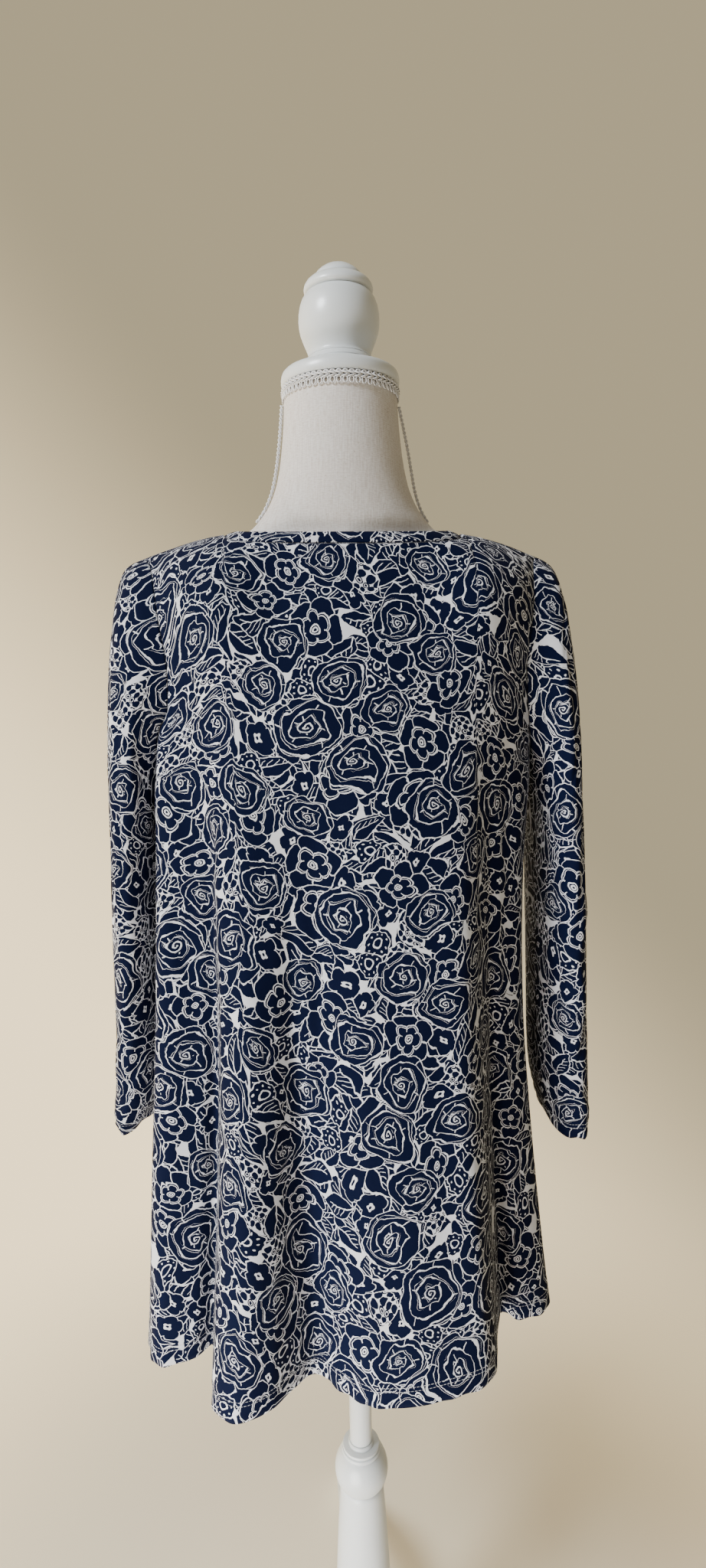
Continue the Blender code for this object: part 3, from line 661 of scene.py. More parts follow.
def make_panel(name, side, creases, seed, finishes):
    """The back or front: a flared piece whose folds, creases and turned hem follow the way it hangs."""
    corner = neck_corner()
    angles = even_angles(side, 251)
    for edge in (corner, 180 - corner):
        angles[np.argmin(np.abs(angles - edge))] = edge
    near_hem = np.arange(HEM_HEIGHT, HEM_HEIGHT + 25, 4.0)
    low = np.concatenate((near_hem, np.linspace(HEM_HEIGHT + 28, 1194.0, 90)))
    turns = np.arange(180.0, -0.1, -4.5)
    heights = np.concatenate((low, armhole_height(turns)))
    cut_left = np.concatenate((np.zeros(len(low)), armhole_angle(turns, side, False)))[:, None]
    cut_right = np.concatenate((np.zeros(len(low)), armhole_angle(turns, side, True)))[:, None]
    share = ((heights - HEM_HEIGHT) / (SHOULDER_TIP[1] - HEM_HEIGHT))[:, None]
    across = np.cos(np.radians(angles))
    top_x = SHOULDER_TIP[0] * np.abs(across) ** (2 / BODY[0][4])
    top = top_edge(top_x, side)[1][None]
    bent = (
        angles[None]
        + cut_left * np.maximum(1 - angles / corner, 0.0)[None]
        - cut_right * np.maximum(1 - (180 - angles) / corner, 0.0)[None]
    )
    grid = body_points(bent, HEM_HEIGHT + share * (top - HEM_HEIGHT), side)
    normals = grid_normals(grid, False)
    if np.sum(normals[..., 1] * side) < 0:
        normals = -normals
    smooth_edge = np.minimum(np.arange(len(angles)), np.arange(len(angles))[::-1]) / 8.0
    smooth_top = np.arange(len(heights))[::-1] / 8.0
    calm = np.minimum(np.clip(smooth_edge[None], 0, 1), np.clip(smooth_top[:, None], 0, 1))
    raised = crease(grid[..., [0, 2]], creases)
    rng = np.random.default_rng(seed)
    along = run_length(grid, 1)
    for _ in range(14):
        spot, reach, width = rng.uniform(0.05, 0.95), rng.uniform(60, 220), rng.uniform(7, 15)
        ripple = np.exp(-(((along / along[:, -1:] - spot) * along[:, -1:] / width) ** 2))
        raised += rng.uniform(-1.3, 1.3) * ripple * np.exp(-(((grid[..., 2] - HEM_HEIGHT) / reach) ** 2))
    grid = grid + normals * (raised * calm)[..., None]
    above = grid[..., 2] - HEM_HEIGHT
    grid[..., 2] += 1.6 * np.sin(along / 31.0 + seed) * np.exp(-((above / 60.0) ** 2))
    pucker = np.sin(along / 4.1 + 2.6 * np.sin(along / 47.0 + seed))
    pucker = pucker * (0.5 + 0.5 * np.sin(along / 23.0 + seed))
    pucker *= np.exp(-((above / 11.0) ** 2)) * np.clip(smooth_edge, 0, 1)[None]
    grid[..., 2] -= 0.5 * pucker
    grid += normals * (0.8 * pucker)[..., None]
    normals = grid_normals(grid, False)
    if np.sum(normals[..., 1] * side) < 0:
        normals = -normals
    for edge in (0, -1):
        normals[: len(low) + 1, edge, 1] = 0.0
        for row, turn in enumerate(turns):
            out = np.array((0.0, side * sin(radians(turn)), cos(radians(turn))))
            if turn in (0.0, 180.0):
                normals[len(low) + row, edge, 1] = 0.0
            normals[len(low) + row, edge] = unit(normals[len(low) + row, edge]) + out
    on_seam = (angles <= corner + 0.01) | (angles >= 180 - corner - 0.01)
    normals[-1, on_seam, 1] = 0.0
    normals = unit(normals)
    grid[: len(low) + 1, 0, 1] += side * SEAM_GAP / 2
    grid[: len(low) + 1, -1, 1] += side * SEAM_GAP / 2
    grid[-1, on_seam, 1] += side * SEAM_GAP / 2
    middle = np.argmin(np.abs(angles - 90.0))
    across_cloth = run_length(grid, 1)
    across_cloth = across_cloth - across_cloth[:, middle : middle + 1]
    up_cloth = run_length(grid, 0)
    level = len(low)
    up_cloth = up_cloth - up_cloth[level : level + 1] + ARMPIT_HEIGHT
    uv = np.stack((across_cloth * side + seed * 613.0, up_cloth), axis=-1)
    above_hem = run_length(grid, 0)
    thickness = CLOTH + HEM_EXTRA * np.clip((HEM_TURN - above_hem) / 2.0, 0.0, 1.0)
    made = cloth_shell(name, grid, normals, thickness, uv, finishes, False)
    return made, grid, normals, angles


def sleeve_rings(right, turns, sides):
    """Rings of a sleeve, whose planes turn from upright at the armhole to level at the cuff."""
    hand = -1 if right else 1
    loop = np.empty((len(turns), 3))
    for side in (1, -1):
        here = sides == side
        angle = armhole_angle(turns[here], side, right)
        loop[here] = body_points(180 - angle if right else angle, armhole_height(turns[here]), side)
    loop[:, 0] += hand * SEAM_GAP
    around = np.radians(turns) * sides
    tip, armpit = loop[np.argmin(turns)], loop[np.argmax(turns)]
    plain = (tip + armpit) / 2 + np.outer(np.cos(around), (tip - armpit) / 2)
    bow = (loop - plain)[:, 0]
    narrower, back, twist = RIGHT_HANG if right else LEFT_HANG
    rings = [loop]
    for number, (outer_x, outer_z, inner_x, inner_z, half_width) in enumerate(SLEEVE, start=1):
        outer_x -= narrower * min(number / BOW_RINGS, 1.0)
        if right:
            inner_x -= RIGHT_FULLNESS * max(1 - abs(number - FULLEST_RING) / FULL_RINGS, 0.0)
        outer = np.array((hand * outer_x, 0.0, outer_z))
        inner = np.array((hand * inner_x, 0.0, inner_z))
        ring = (outer + inner) / 2 + np.outer(np.cos(around), (outer - inner) / 2)
        ring[:, 1] += half_width * np.sin(around)
        share = (number / len(SLEEVE)) ** HANG_GROWTH
        turned = share * twist
        centre_x = (hand * outer_x + hand * inner_x) / 2
        wide = hand * (ring[:, 0] - centre_x)
        deep = ring[:, 1].copy()
        ring[:, 0] = centre_x + hand * (wide * cos(turned) + deep * sin(turned))
        ring[:, 1] = deep * cos(turned) - wide * sin(turned) + back * share
        ring[:, 0] += bow * max(1 - number / BOW_RINGS, 0.0) ** 1.5
        rings.append(ring)
    return np.array(rings)


def between_rings(rings, steps):
    """More rings between these, on smooth curves through them."""
    padded = np.concatenate((2 * rings[:1] - rings[1:2], rings, 2 * rings[-1:] - rings[-2:-1]))
    fine = []
    for spot in range(len(rings) - 1):
        p, q, r, s = padded[spot : spot + 4]
        for step in range(steps):
            t = step / steps
            fine.append(
                0.5 * (2 * q + (r - p) * t + (2 * p - 5 * q + 4 * r - s) * t * t + (3 * q - p - 3 * r + s) * t**3)
            )
    fine.append(rings[-1])
    return np.array(fine)


def crumpled_cuff(grid, around, share, right):
    """The last of a sleeve: pushed out, drooping on its inner side, and drawn in unevenly at the hem."""
    push, droop, gather, bumps = RIGHT_CUFF if right else LEFT_CUFF
    hand = -1 if right else 1
    near = np.clip((share - 0.80) / 0.20, 0.0, 1.0)[:, None]
    near = near * near * (3 - 2 * near)
    last = np.clip((share - 0.93) / 0.07, 0.0, 1.0)[:, None]
    inner = (1 - np.cos(around))[None] / 2
    behind = 0.35 + 0.65 * np.maximum(np.sin(around), 0.0)[None]
    grid = grid.copy()
    grid[..., 0] += hand * push * near
    grid[..., 2] -= droop * near * inner * behind
    centre = grid.mean(axis=1, keepdims=True)
    uneven = 1 + 0.5 * np.sin(3 * around + bumps) + 0.4 * np.sin(5 * around + 2 * bumps)
    drawn = gather * last**1.5 * uneven[None]
    grid[..., :2] += (centre - grid)[..., :2] * drawn[..., None]
    ripple = np.sin(7 * around + bumps) * 0.8 + np.sin(4 * around + 3 * bumps) * 1.2
    grid[..., 2] += ripple[None] * near
    roll = np.sin(share * 190.0 + 2 * np.sin(around[None].T + bumps)).T
    grid[..., :2] += (centre - grid)[..., :2] * (0.02 * near * roll)[..., None]
    return grid


def sleeve_cloth(grid, to_cuff, outer, hand):
    """Places on the flat cloth of a sleeve: round it at each height, and up it along its outer edge."""
    middle = (grid[:, outer] + grid[:, 0]) / 2
    rising = np.argsort(middle[:, 2])
    x, y, z = np.moveaxis(grid, -1, 0)
    centre_x = np.interp(z, middle[rising, 2], middle[rising, 0])
    centre_y = np.interp(z, middle[rising, 2], middle[rising, 1])
    half_depth = np.ptp(grid[..., 1], axis=1) / 2
    deep = np.interp(z, middle[rising, 2], half_depth[rising])
    above = np.clip((z - middle[:, 2].max()) / np.ptp(grid[0, :, 2]) * 2, 0.0, 1.0)
    deep = deep * np.sqrt(np.maximum(1 - above**2, 0.02))
    edge = np.argsort(grid[:, outer, 2])
    edge_x = np.interp(z, grid[edge, outer, 2], grid[edge, outer, 0])
    wide = np.maximum(hand * (edge_x - centre_x), 4.0)
    turn = np.arctan2((y - centre_y) / deep, hand * (x - centre_x) / wide)
    turn = np.unwrap(np.concatenate((turn, turn[:, :1]), axis=1), axis=1)
    turn = turn - 2 * pi * np.round(turn[:, outer] / (2 * pi))[:, None]
    deep, wide, z = (np.concatenate((part, part[:, :1]), axis=1) for part in (deep, wide, z))
    steps = np.linspace(0.0, 1.0, 41)[:, None, None] * turn
    speed = np.sqrt((wide * np.sin(steps)) ** 2 + (deep * np.cos(steps)) ** 2)
    around = turn * (speed[1:] + speed[:-1]).mean(axis=0) / 2
    up = np.interp(z, grid[edge, outer, 2], to_cuff[edge, outer])
    return np.stack((around, up), axis=-1)


def make_sleeve(name, right, creases, seed, finishes):
    """A long sleeve: a tube from the armhole to the open cuff with a narrow turned hem."""
    half = np.arange(180.0, -0.1, -5.0)
    turns = np.concatenate((half, half[-2:0:-1]))
    sides = np.concatenate((np.ones(len(half)), -np.ones(len(half) - 2)))
    grid = between_rings(sleeve_rings(right, turns, sides), 7)
    normals = grid_normals(grid, True)
    if np.sum(normals * (grid - grid.mean(axis=1, keepdims=True))) < 0:
        normals = -normals
    share = np.linspace(0.0, 1.0, len(grid))
    around = turns * sides
    places = np.stack(np.broadcast_arrays(around[None] * 1.0, share[:, None] * 590.0), axis=-1)
    listed = [(a, s * 590.0, b, t * 590.0, width, depth) for a, s, b, t, width, depth in creases]
    calm = np.clip((share - 0.02) / 0.08, 0.0, 1.0)[:, None]
    raised = crease(places, listed)
    rng = np.random.default_rng(seed)
    for _ in range(10):
        spot, width = rng.uniform(0.05, 0.95), rng.uniform(0.006, 0.014)
        slope, phase = rng.uniform(-0.05, 0.05), rng.uniform(0, 2 * pi)
        band = np.exp(-(((share[:, None] - spot - slope * np.sin(np.radians(around)[None] + phase)) / width) ** 2))
        patch = np.clip(np.cos(np.radians(around)[None] - phase), 0.0, 1.0)
        raised += rng.uniform(-1.4, 1.4) * band * patch
    grid = grid + normals * (raised * calm)[..., None]
    grid = crumpled_cuff(grid, np.radians(around), share, right)
    normals = grid_normals(grid, True)
    if np.sum(normals * (grid - grid.mean(axis=1, keepdims=True))) < 0:
        normals = -normals
    bearings = np.radians(turns)
    out = np.stack((np.zeros(len(turns)), sides * np.sin(bearings), np.cos(bearings)), axis=-1)
    normals[0] = normals[0] + out
    normals = unit(normals)
    to_cuff = run_length(grid[::-1], 0)[::-1]
    uv = sleeve_cloth(grid, to_cuff, np.argmin(turns), -1 if right else 1) + (seed * 613.0, 811.0)
    thickness = CLOTH + HEM_EXTRA * np.clip((HEM_TURN - to_cuff) / 2.0, 0.0, 1.0)
    return cloth_shell(name, grid, normals, thickness, uv, finishes, True), grid, normals


def make_neckband(back, front, finishes):
    """A narrow band of the same cloth round the neck, standing just proud of the two panels."""
    corner = neck_corner()
    lines, faces_out, sides = [], [], []
    for side, (grid, normals, angles) in ((1, back), (-1, front)):
        here = (angles >= corner - 0.01) & (angles <= 180 - corner + 0.01)
        points, outward = grid[-1, here], normals[-1, here]
        if side < 0:
            points, outward = points[-2:0:-1], outward[-2:0:-1]
        lines.append(points)
        faces_out.append(outward)
        sides.append(np.full(len(points), side))
    outer, outer_normals, sides = np.concatenate(lines), np.concatenate(faces_out), np.concatenate(sides)
    outer[[0, len(lines[0]) - 1], 1] = 0.0
    x = outer[:, 0]
    share = np.where(sides > 0, neckline_share(x, 1), neckline_share(x, -1))
    deep = np.where(sides > 0, BACK_NECK_DEPTH - 7.0, -(FRONT_NECK_DEPTH - 7.0)) * share
    drop = np.where(
        sides > 0,
        (BACK_NECK_DROP - 7.0) * share,
        (FRONT_NECK_DROP - 7.5) * share**FRONT_NECK_CURVE,
    )
    inner = np.stack((x * NECK_EDGE[0] / NECK_SEAM[0], deep, NECK_EDGE[1] - drop), axis=-1)
    outer = outer + unit(inner - outer) * BAND_GAP
    shares = np.linspace(0.0, 1.0, 7)[:, None, None]
    grid = outer[None] * (1 - shares) + inner[None] * shares
    normals = grid_normals(grid, True)
    if np.sum(normals * outer_normals[None]) < 0:
        normals = -normals
    blend = 1 - np.minimum(shares * 2, 1.0)
    normals = unit(normals * (1 - blend) + outer_normals[None] * blend)
    puff = 0.5 * np.sin(np.pi * shares)
    grid = grid + normals * (BAND_LIFT + puff)
    round_again = np.append(np.arange(grid.shape[1]), 0)
    round_neck = run_length(grid[:1, round_again], 1)
    up_band = run_length(grid, 0)[:, round_again]
    uv = np.stack((np.broadcast_to(round_neck, up_band.shape) + 401.0, up_band + 97.0), axis=-1)
    thickness = np.full(grid.shape[:2], BAND_WALL)
    return cloth_shell("neckband_of_the_tunic", grid, normals, thickness, uv, finishes, True), grid, normals


def make_form(finish):
    """The padded torso and neck, with a rounded edge at its base."""
    heights = np.concatenate(
        (np.linspace(800.0, 812.0, 5), np.arange(818.0, 1380.0, 9.0), np.arange(1380.0, 1450.0, 4.0))
    )
    heights = np.concatenate((heights, np.linspace(1452.0, 1572.4, 22)))
    angle = np.linspace(0.0, 180.0, 61)
    rings = []
    for height in heights:
        back_x, back_y = oval(FORM, angle, np.full_like(angle, height), 1)
        front_x, front_y = oval(FORM, angle[-2:0:-1], np.full_like(angle[1:-1], height), -1)
        rings.append(np.stack((np.r_[back_x, front_x], np.r_[back_y, -front_y], np.full(120, height)), axis=-1))
    columns = len(rings[0])
    points = np.concatenate(rings)
    grid = np.arange(len(points)).reshape(-1, columns)
    beside = np.roll(grid, -1, axis=1)
    faces = np.stack((grid[:-1], beside[:-1], beside[1:], grid[1:]), axis=-1).reshape(-1, 4).tolist()
    faces += [grid[0, ::-1].tolist(), grid[-1].tolist()]
    made = build("linen_form", points, faces, finishes=(finish,))
    made.data.set_sharp_from_angle(angle=radians(60))
    return made


def make_turned(name, profile, finish):
    """A profile drawn on its outer side from top to bottom, turned about the pole's axis."""
    mesh = bpy.data.meshes.new(name)
    points = [(radius * MM, 0.0, height * MM) for radius, height in profile]
    mesh.from_pydata(points, [(i, i + 1) for i in range(len(profile) - 1)], [])
    mesh.materials.append(finish)
    holder = bpy.data.objects.new(name + "_profile", mesh)
    bpy.context.scene.collection.objects.link(holder)
    turn = holder.modifiers.new("turn", "SCREW")
    turn.steps = TURNED_STEPS
    turn.render_steps = TURNED_STEPS
    turn.use_merge_vertices = True
    turn.merge_threshold = 0.00001
    turn.use_smooth_shade = True
    return settle(holder, name, 38)


def settle(holder, name, sharp=None):
    """The object's finished shape as a plain mesh in place, with the maker's object removed."""
    bpy.context.view_layer.update()
    depsgraph = bpy.context.evaluated_depsgraph_get()
    mesh = bpy.data.meshes.new_from_object(holder.evaluated_get(depsgraph))
    mesh.transform(Matrix.Translation(AXIS) @ holder.matrix_world)
    bpy.data.objects.remove(holder, do_unlink=True)
    if sharp:
        mesh.set_sharp_from_angle(angle=radians(sharp))
    mesh.name = name
    made = bpy.data.objects.new(name, mesh)
    bpy.context.scene.collection.objects.link(made)
    return made


def make_leg(name, direction, finish):
    """One leg: an arched bar with rounded edges and a foot that is flat on the floor."""
    distances = np.array([row[0] for row in LEG])
    fine = np.unique(np.concatenate((distances, np.arange(40.0, 312.0, 6.0))))
    points = []
    for out in fine:
        top, bottom, half = (float(smooth_table(LEG, column, np.array(out))) for column in (1, 2, 3))
        for quarter, (across, height) in enumerate(((1, 1), (-1, 1), (-1, -1), (1, -1))):
            for step in range(5):
                turn = radians(90 * quarter + 90 * step / 4)
                centre_across = across * (half - LEG_CORNER)
                centre_height = (top - LEG_CORNER) if height > 0 else (bottom + LEG_CORNER)
                points.append((out, centre_across + LEG_CORNER * cos(turn), centre_height + LEG_CORNER * sin(turn)))
    size = 20
    grid = np.arange(len(points)).reshape(-1, size)
    beside = np.roll(grid, -1, axis=1)
    faces = np.stack((grid[:-1], beside[:-1], beside[1:], grid[1:]), axis=-1).reshape(-1, 4).tolist()
    faces += [grid[0, ::-1].tolist(), grid[-1].tolist()]
    a = radians(direction)
    points = np.array(points)
    turned = np.stack(
        (points[:, 0] * cos(a) - points[:, 1] * sin(a), points[:, 0] * sin(a) + points[:, 1] * cos(a), points[:, 2]),
        axis=-1,
    )
    made = build(name, turned, faces, finishes=(finish,))
    right_way_out(made.data)
    made.data.set_sharp_from_angle(angle=radians(50))
    return made


def right_way_out(mesh):
    work = bmesh.new()
    work.from_mesh(mesh)
    bmesh.ops.recalc_face_normals(work, faces=work.faces)
    if work.calc_volume(signed=True) < 0:
        bmesh.ops.reverse_faces(work, faces=work.faces)
    work.to_mesh(mesh)
    work.free()


def strand(path, radius, sides, closed=False):
    """Points and faces of a round thread along a path."""
    path = np.asarray(path, float)
    if closed:
        ahead = unit(np.roll(path, -1, axis=0) - np.roll(path, 1, axis=0))
    else:
        ahead = unit(np.gradient(path, axis=0))
    across = np.cross(ahead, np.array((0.0, 0.0, 1.0)))
    flat = np.linalg.norm(across, axis=1) < 0.2
    across[flat] = np.cross(ahead[flat], np.array((1.0, 0.0, 0.0)))
    for spot in range(1, len(across)):
        if across[spot] @ across[spot - 1] < 0:
            across[spot] = -across[spot]
    across = unit(across)
    over = np.cross(across, ahead)
    turn = np.arange(sides) * 2 * pi / sides
    points = path[:, None] + radius * (
        np.cos(turn)[None, :, None] * across[:, None] + np.sin(turn)[None, :, None] * over[:, None]
    )
    grid = np.arange(len(path) * sides).reshape(-1, sides)
    rows = np.concatenate((grid, grid[:1])) if closed else grid
    beside = np.roll(rows, -1, axis=1)
    faces = np.stack((rows[:-1], beside[:-1], beside[1:], rows[1:]), axis=-1).reshape(-1, 4).tolist()
    if not closed:
        faces += [grid[0, ::-1].tolist(), grid[-1].tolist()]
    return points.reshape(-1, 3), faces


def make_cord(name, hand, slack, finish):
    """Two strands twisted round each other, down the side of the neck or hanging a little way off it."""
    heights = np.linspace(CORD_TOP, CORD_FOOT, 111)
    out = smooth_table(FORM, 1, heights) + CORD_OUT + slack * np.sin(np.linspace(0.0, pi, len(heights)))
    points, faces = [], []
    for part in (0.0, pi):
        turn = 2 * pi * (CORD_TOP - heights) / CORD_PITCH + part
        wound = CORD_RADIUS * 0.62
        path = np.stack((hand * (out + wound * np.cos(turn)), wound * np.sin(turn), heights), axis=-1)
        made_points, made_faces = strand(path, CORD_RADIUS * 0.60, 8)
        start = sum(len(p) for p in points)
        points.append(made_points)
        faces += [[corner + start for corner in face] for face in made_faces]
    made = build(name, np.concatenate(points), faces, finishes=(finish,))
    right_way_out(made.data)
    return made


def tree_with(name, inputs):
    """An empty Geometry Nodes tree with these named inputs and one geometry output."""
    tree = bpy.data.node_groups.new(name, "GeometryNodeTree")
    sockets = {}
    tree.interface.new_socket("Geometry", in_out="INPUT", socket_type="NodeSocketGeometry")
    for label, (kind, value) in inputs.items():
        socket = tree.interface.new_socket(label, in_out="INPUT", socket_type=kind)
        if value is not None:
            socket.default_value = value
        sockets[label] = socket.identifier
    tree.interface.new_socket("Geometry", in_out="OUTPUT", socket_type="NodeSocketGeometry")
    return tree, sockets


def repeat_tree():
    """Sets one small piece at even steps along a line, turned to follow it."""
    tree, sockets = tree_with(
        "small pieces along a line",
        {
            "Step": ("NodeSocketFloat", STITCH_STEP * MM),
            "Piece": ("NodeSocketObject", None),
            "Finish": ("NodeSocketMaterial", None),
        },
    )
    add = tree.nodes.new
    join = tree.links.new
    given = add("NodeGroupInput")
    line = add("GeometryNodeMeshToCurve")
    upright = add("GeometryNodeSetCurveNormal")
    upright.mode = "Z_UP"
    spots = add("GeometryNodeCurveToPoints")
    spots.mode = "LENGTH"
    piece = add("GeometryNodeObjectInfo")
    place = add("GeometryNodeInstanceOnPoints")
    real = add("GeometryNodeRealizeInstances")
    finish = add("GeometryNodeSetMaterial")
    out = add("NodeGroupOutput")
    join(given.outputs["Geometry"], line.inputs["Mesh"])
    join(line.outputs["Curve"], upright.inputs["Curve"])
    join(upright.outputs["Curve"], spots.inputs["Curve"])
    join(given.outputs["Step"], spots.inputs["Length"])
    join(given.outputs["Piece"], piece.inputs["Object"])
    join(spots.outputs["Points"], place.inputs["Points"])
    join(piece.outputs["Geometry"], place.inputs["Instance"])
    join(spots.outputs["Rotation"], place.inputs["Rotation"])
    join(place.outputs["Instances"], real.inputs["Geometry"])
    join(real.outputs["Geometry"], finish.inputs["Geometry"])
    join(given.outputs["Finish"], finish.inputs["Material"])
    join(finish.outputs["Geometry"], out.inputs["Geometry"])
    return tree, sockets


def repeat_along(name, tree_and_sockets, lines, closed, step, piece, finish):
    """One mesh of small pieces along these lines of points."""
    tree, sockets = tree_and_sockets
    points = np.concatenate(lines) * MM
    edges, start = [], 0
    for line in lines:
        count = len(line)
        edges += [(start + i, start + i + 1) for i in range(count - 1)]
        if closed:
            edges.append((start + count - 1, start))
        start += count
    mesh = bpy.data.meshes.new(name)
    mesh.from_pydata(points.tolist(), edges, [])
    holder = bpy.data.objects.new(name + "_line", mesh)
    bpy.context.scene.collection.objects.link(holder)
    rule = holder.modifiers.new("repeat", "NODES")
    rule.node_group = tree
    rule[sockets["Step"]] = step * MM
    rule[sockets["Piece"]] = piece
    rule[sockets["Finish"]] = finish
    return settle(holder, name)


def small_piece(name, path, radius, sides, closed=False):
    """A thread along a short path, to be repeated: X is outwards and Z runs along the line."""
    points, faces = strand(path, radius, sides, closed)
    mesh = bpy.data.meshes.new(name)
    mesh.from_pydata((points * MM).tolist(), [], faces)
    right_way_out(mesh)
    mesh.shade_smooth()
    made = bpy.data.objects.new(name, mesh)
    bpy.context.scene.collection.objects.link(made)
    return made


def ring_path(tall, wide, count):
    """A closed loop of thread that stands across the line it repeats along."""
    turn = np.arange(count) * 2 * pi / count
    return np.stack((np.zeros(count), tall * np.cos(turn), wide * np.sin(turn)), axis=-1)


def make_braid_band(finish):
    """The flat middle of the braid, as a ring with two soft ribs; its near-black finish is painted shade behind the
    loops.
    """
    profile = (
        (BRAID_INNER, BRAID_HIGH),
        (BRAID_OUTER - 0.5, BRAID_HIGH),
        (BRAID_OUTER + 0.2, BRAID_HIGH - 1.4),
        (BRAID_OUTER - 0.3, (BRAID_LOW + BRAID_HIGH) / 2),
        (BRAID_OUTER + 0.2, BRAID_LOW + 1.4),
        (BRAID_OUTER - 0.5, BRAID_LOW),
        (BRAID_INNER, BRAID_LOW),
    )
    turns = np.arange(TURNED_STEPS) * 2 * pi / TURNED_STEPS
    points = [(r * cos(t), r * sin(t), z) for t in turns for r, z in profile]
    grid = np.arange(len(points)).reshape(TURNED_STEPS, len(profile))
    rows = np.concatenate((grid, grid[:1]))
    beside = np.roll(rows, -1, axis=1)
    faces = np.stack((rows[:-1], beside[:-1], beside[1:], rows[1:]), axis=-1).reshape(-1, 4).tolist()
    made = build("braid_band", points, faces, finishes=(finish,))
    right_way_out(made.data)
    return made


class Recipe:
    """Puts nodes into one tree, so that each rule of a finish reads as one line."""

    def __init__(self, tree):
        self.tree = tree

    def node(self, kind, **settings):
        made = self.tree.nodes.new(kind)
        for name, value in settings.items():
            setattr(made, name, value)
        return made

    def feed(self, socket, value):
        if isinstance(value, bpy.types.NodeSocket):
            self.tree.links.new(value, socket)
        else:
            socket.default_value = value

    def math(self, operation, *values):
        made = self.node("ShaderNodeMath", operation=operation)
        for socket, value in zip(made.inputs, values):
            self.feed(socket, value)
        return made.outputs[0]

    def add(self, *values):
        total = values[0]
        for value in values[1:]:
            total = self.math("ADD", total, value)
        return total

    def less(self, a, b):
        return self.math("LESS_THAN", a, b)

    def more(self, a, b):
        return self.math("GREATER_THAN", a, b)

    def scaled(self, a, b):
        return self.math("MULTIPLY", a, b)

    def both(self, a, b):
        return self.math("MULTIPLY", a, b)

    def either(self, *values):
        total = values[0]
        for value in values[1:]:
            total = self.math("MAXIMUM", total, value)
        return total

    def opposite(self, a):
        return self.math("SUBTRACT", 1.0, a)

    def size_of(self, a):
        return self.math("ABSOLUTE", a)

    def part_of(self, a):
        return self.math("FRACT", a)

    def wave(self, a, times=1.0, shift=0.0):
        return self.math("SINE", self.math("MULTIPLY_ADD", a, times, shift))

    def vector(self, operation, *values):
        made = self.node("ShaderNodeVectorMath", operation=operation)
        for socket, value in zip(made.inputs, values):
            self.feed(socket, value)
        return made.outputs["Value"] if operation == "LENGTH" else made.outputs["Vector"]

    def pick(self, amount, a, b):
        """a where the amount is 0 and b where it is 1."""
        made = self.node("ShaderNodeMix", data_type="FLOAT")
        self.feed(made.inputs[0], amount)
        self.feed(made.inputs[2], a)
        self.feed(made.inputs[3], b)
        return made.outputs[0]

    def tint(self, amount, a, b):
        made = self.node("ShaderNodeMix", data_type="RGBA")
        self.feed(made.inputs[0], amount)
        self.feed(made.inputs[6], a if isinstance(a, bpy.types.NodeSocket) else (*a, 1.0))
        self.feed(made.inputs[7], b if isinstance(b, bpy.types.NodeSocket) else (*b, 1.0))
        return made.outputs[2]

    def noise(self, place, scale, detail=2.0, roughness=0.5):
        made = self.node("ShaderNodeTexNoise")
        self.feed(made.inputs["Vector"], place)
        made.inputs["Scale"].default_value = scale
        made.inputs["Detail"].default_value = detail
        made.inputs["Roughness"].default_value = roughness
        return made.outputs["Fac"], made.outputs["Color"]


def motif(name, draw):
    """A group that draws one printed motif about its own middle, in millimetres."""
    tree = bpy.data.node_groups.new(name, "ShaderNodeTree")
    tree.interface.new_socket("Place", in_out="INPUT", socket_type="NodeSocketVector")
    tree.interface.new_socket("Turn", in_out="INPUT", socket_type="NodeSocketFloat")
    tree.interface.new_socket("Ink", in_out="OUTPUT", socket_type="NodeSocketFloat")
    tree.interface.new_socket("Cover", in_out="OUTPUT", socket_type="NodeSocketFloat")
    recipe = Recipe(tree)
    given, out = recipe.node("NodeGroupInput"), recipe.node("NodeGroupOutput")
    place, turn = given.outputs["Place"], given.outputs["Turn"]
    axes = recipe.node("ShaderNodeSeparateXYZ")
    recipe.feed(axes.inputs[0], place)
    distance = recipe.vector("LENGTH", place)
    bearing = recipe.math("ARCTAN2", axes.outputs["Y"], axes.outputs["X"])
    angle = recipe.math("MULTIPLY_ADD", turn, 2 * pi, bearing)
    ink, cover = draw(recipe, place, distance, bearing, angle, turn)
    recipe.feed(out.inputs["Ink"], ink)
    recipe.feed(out.inputs["Cover"], cover)
    return tree


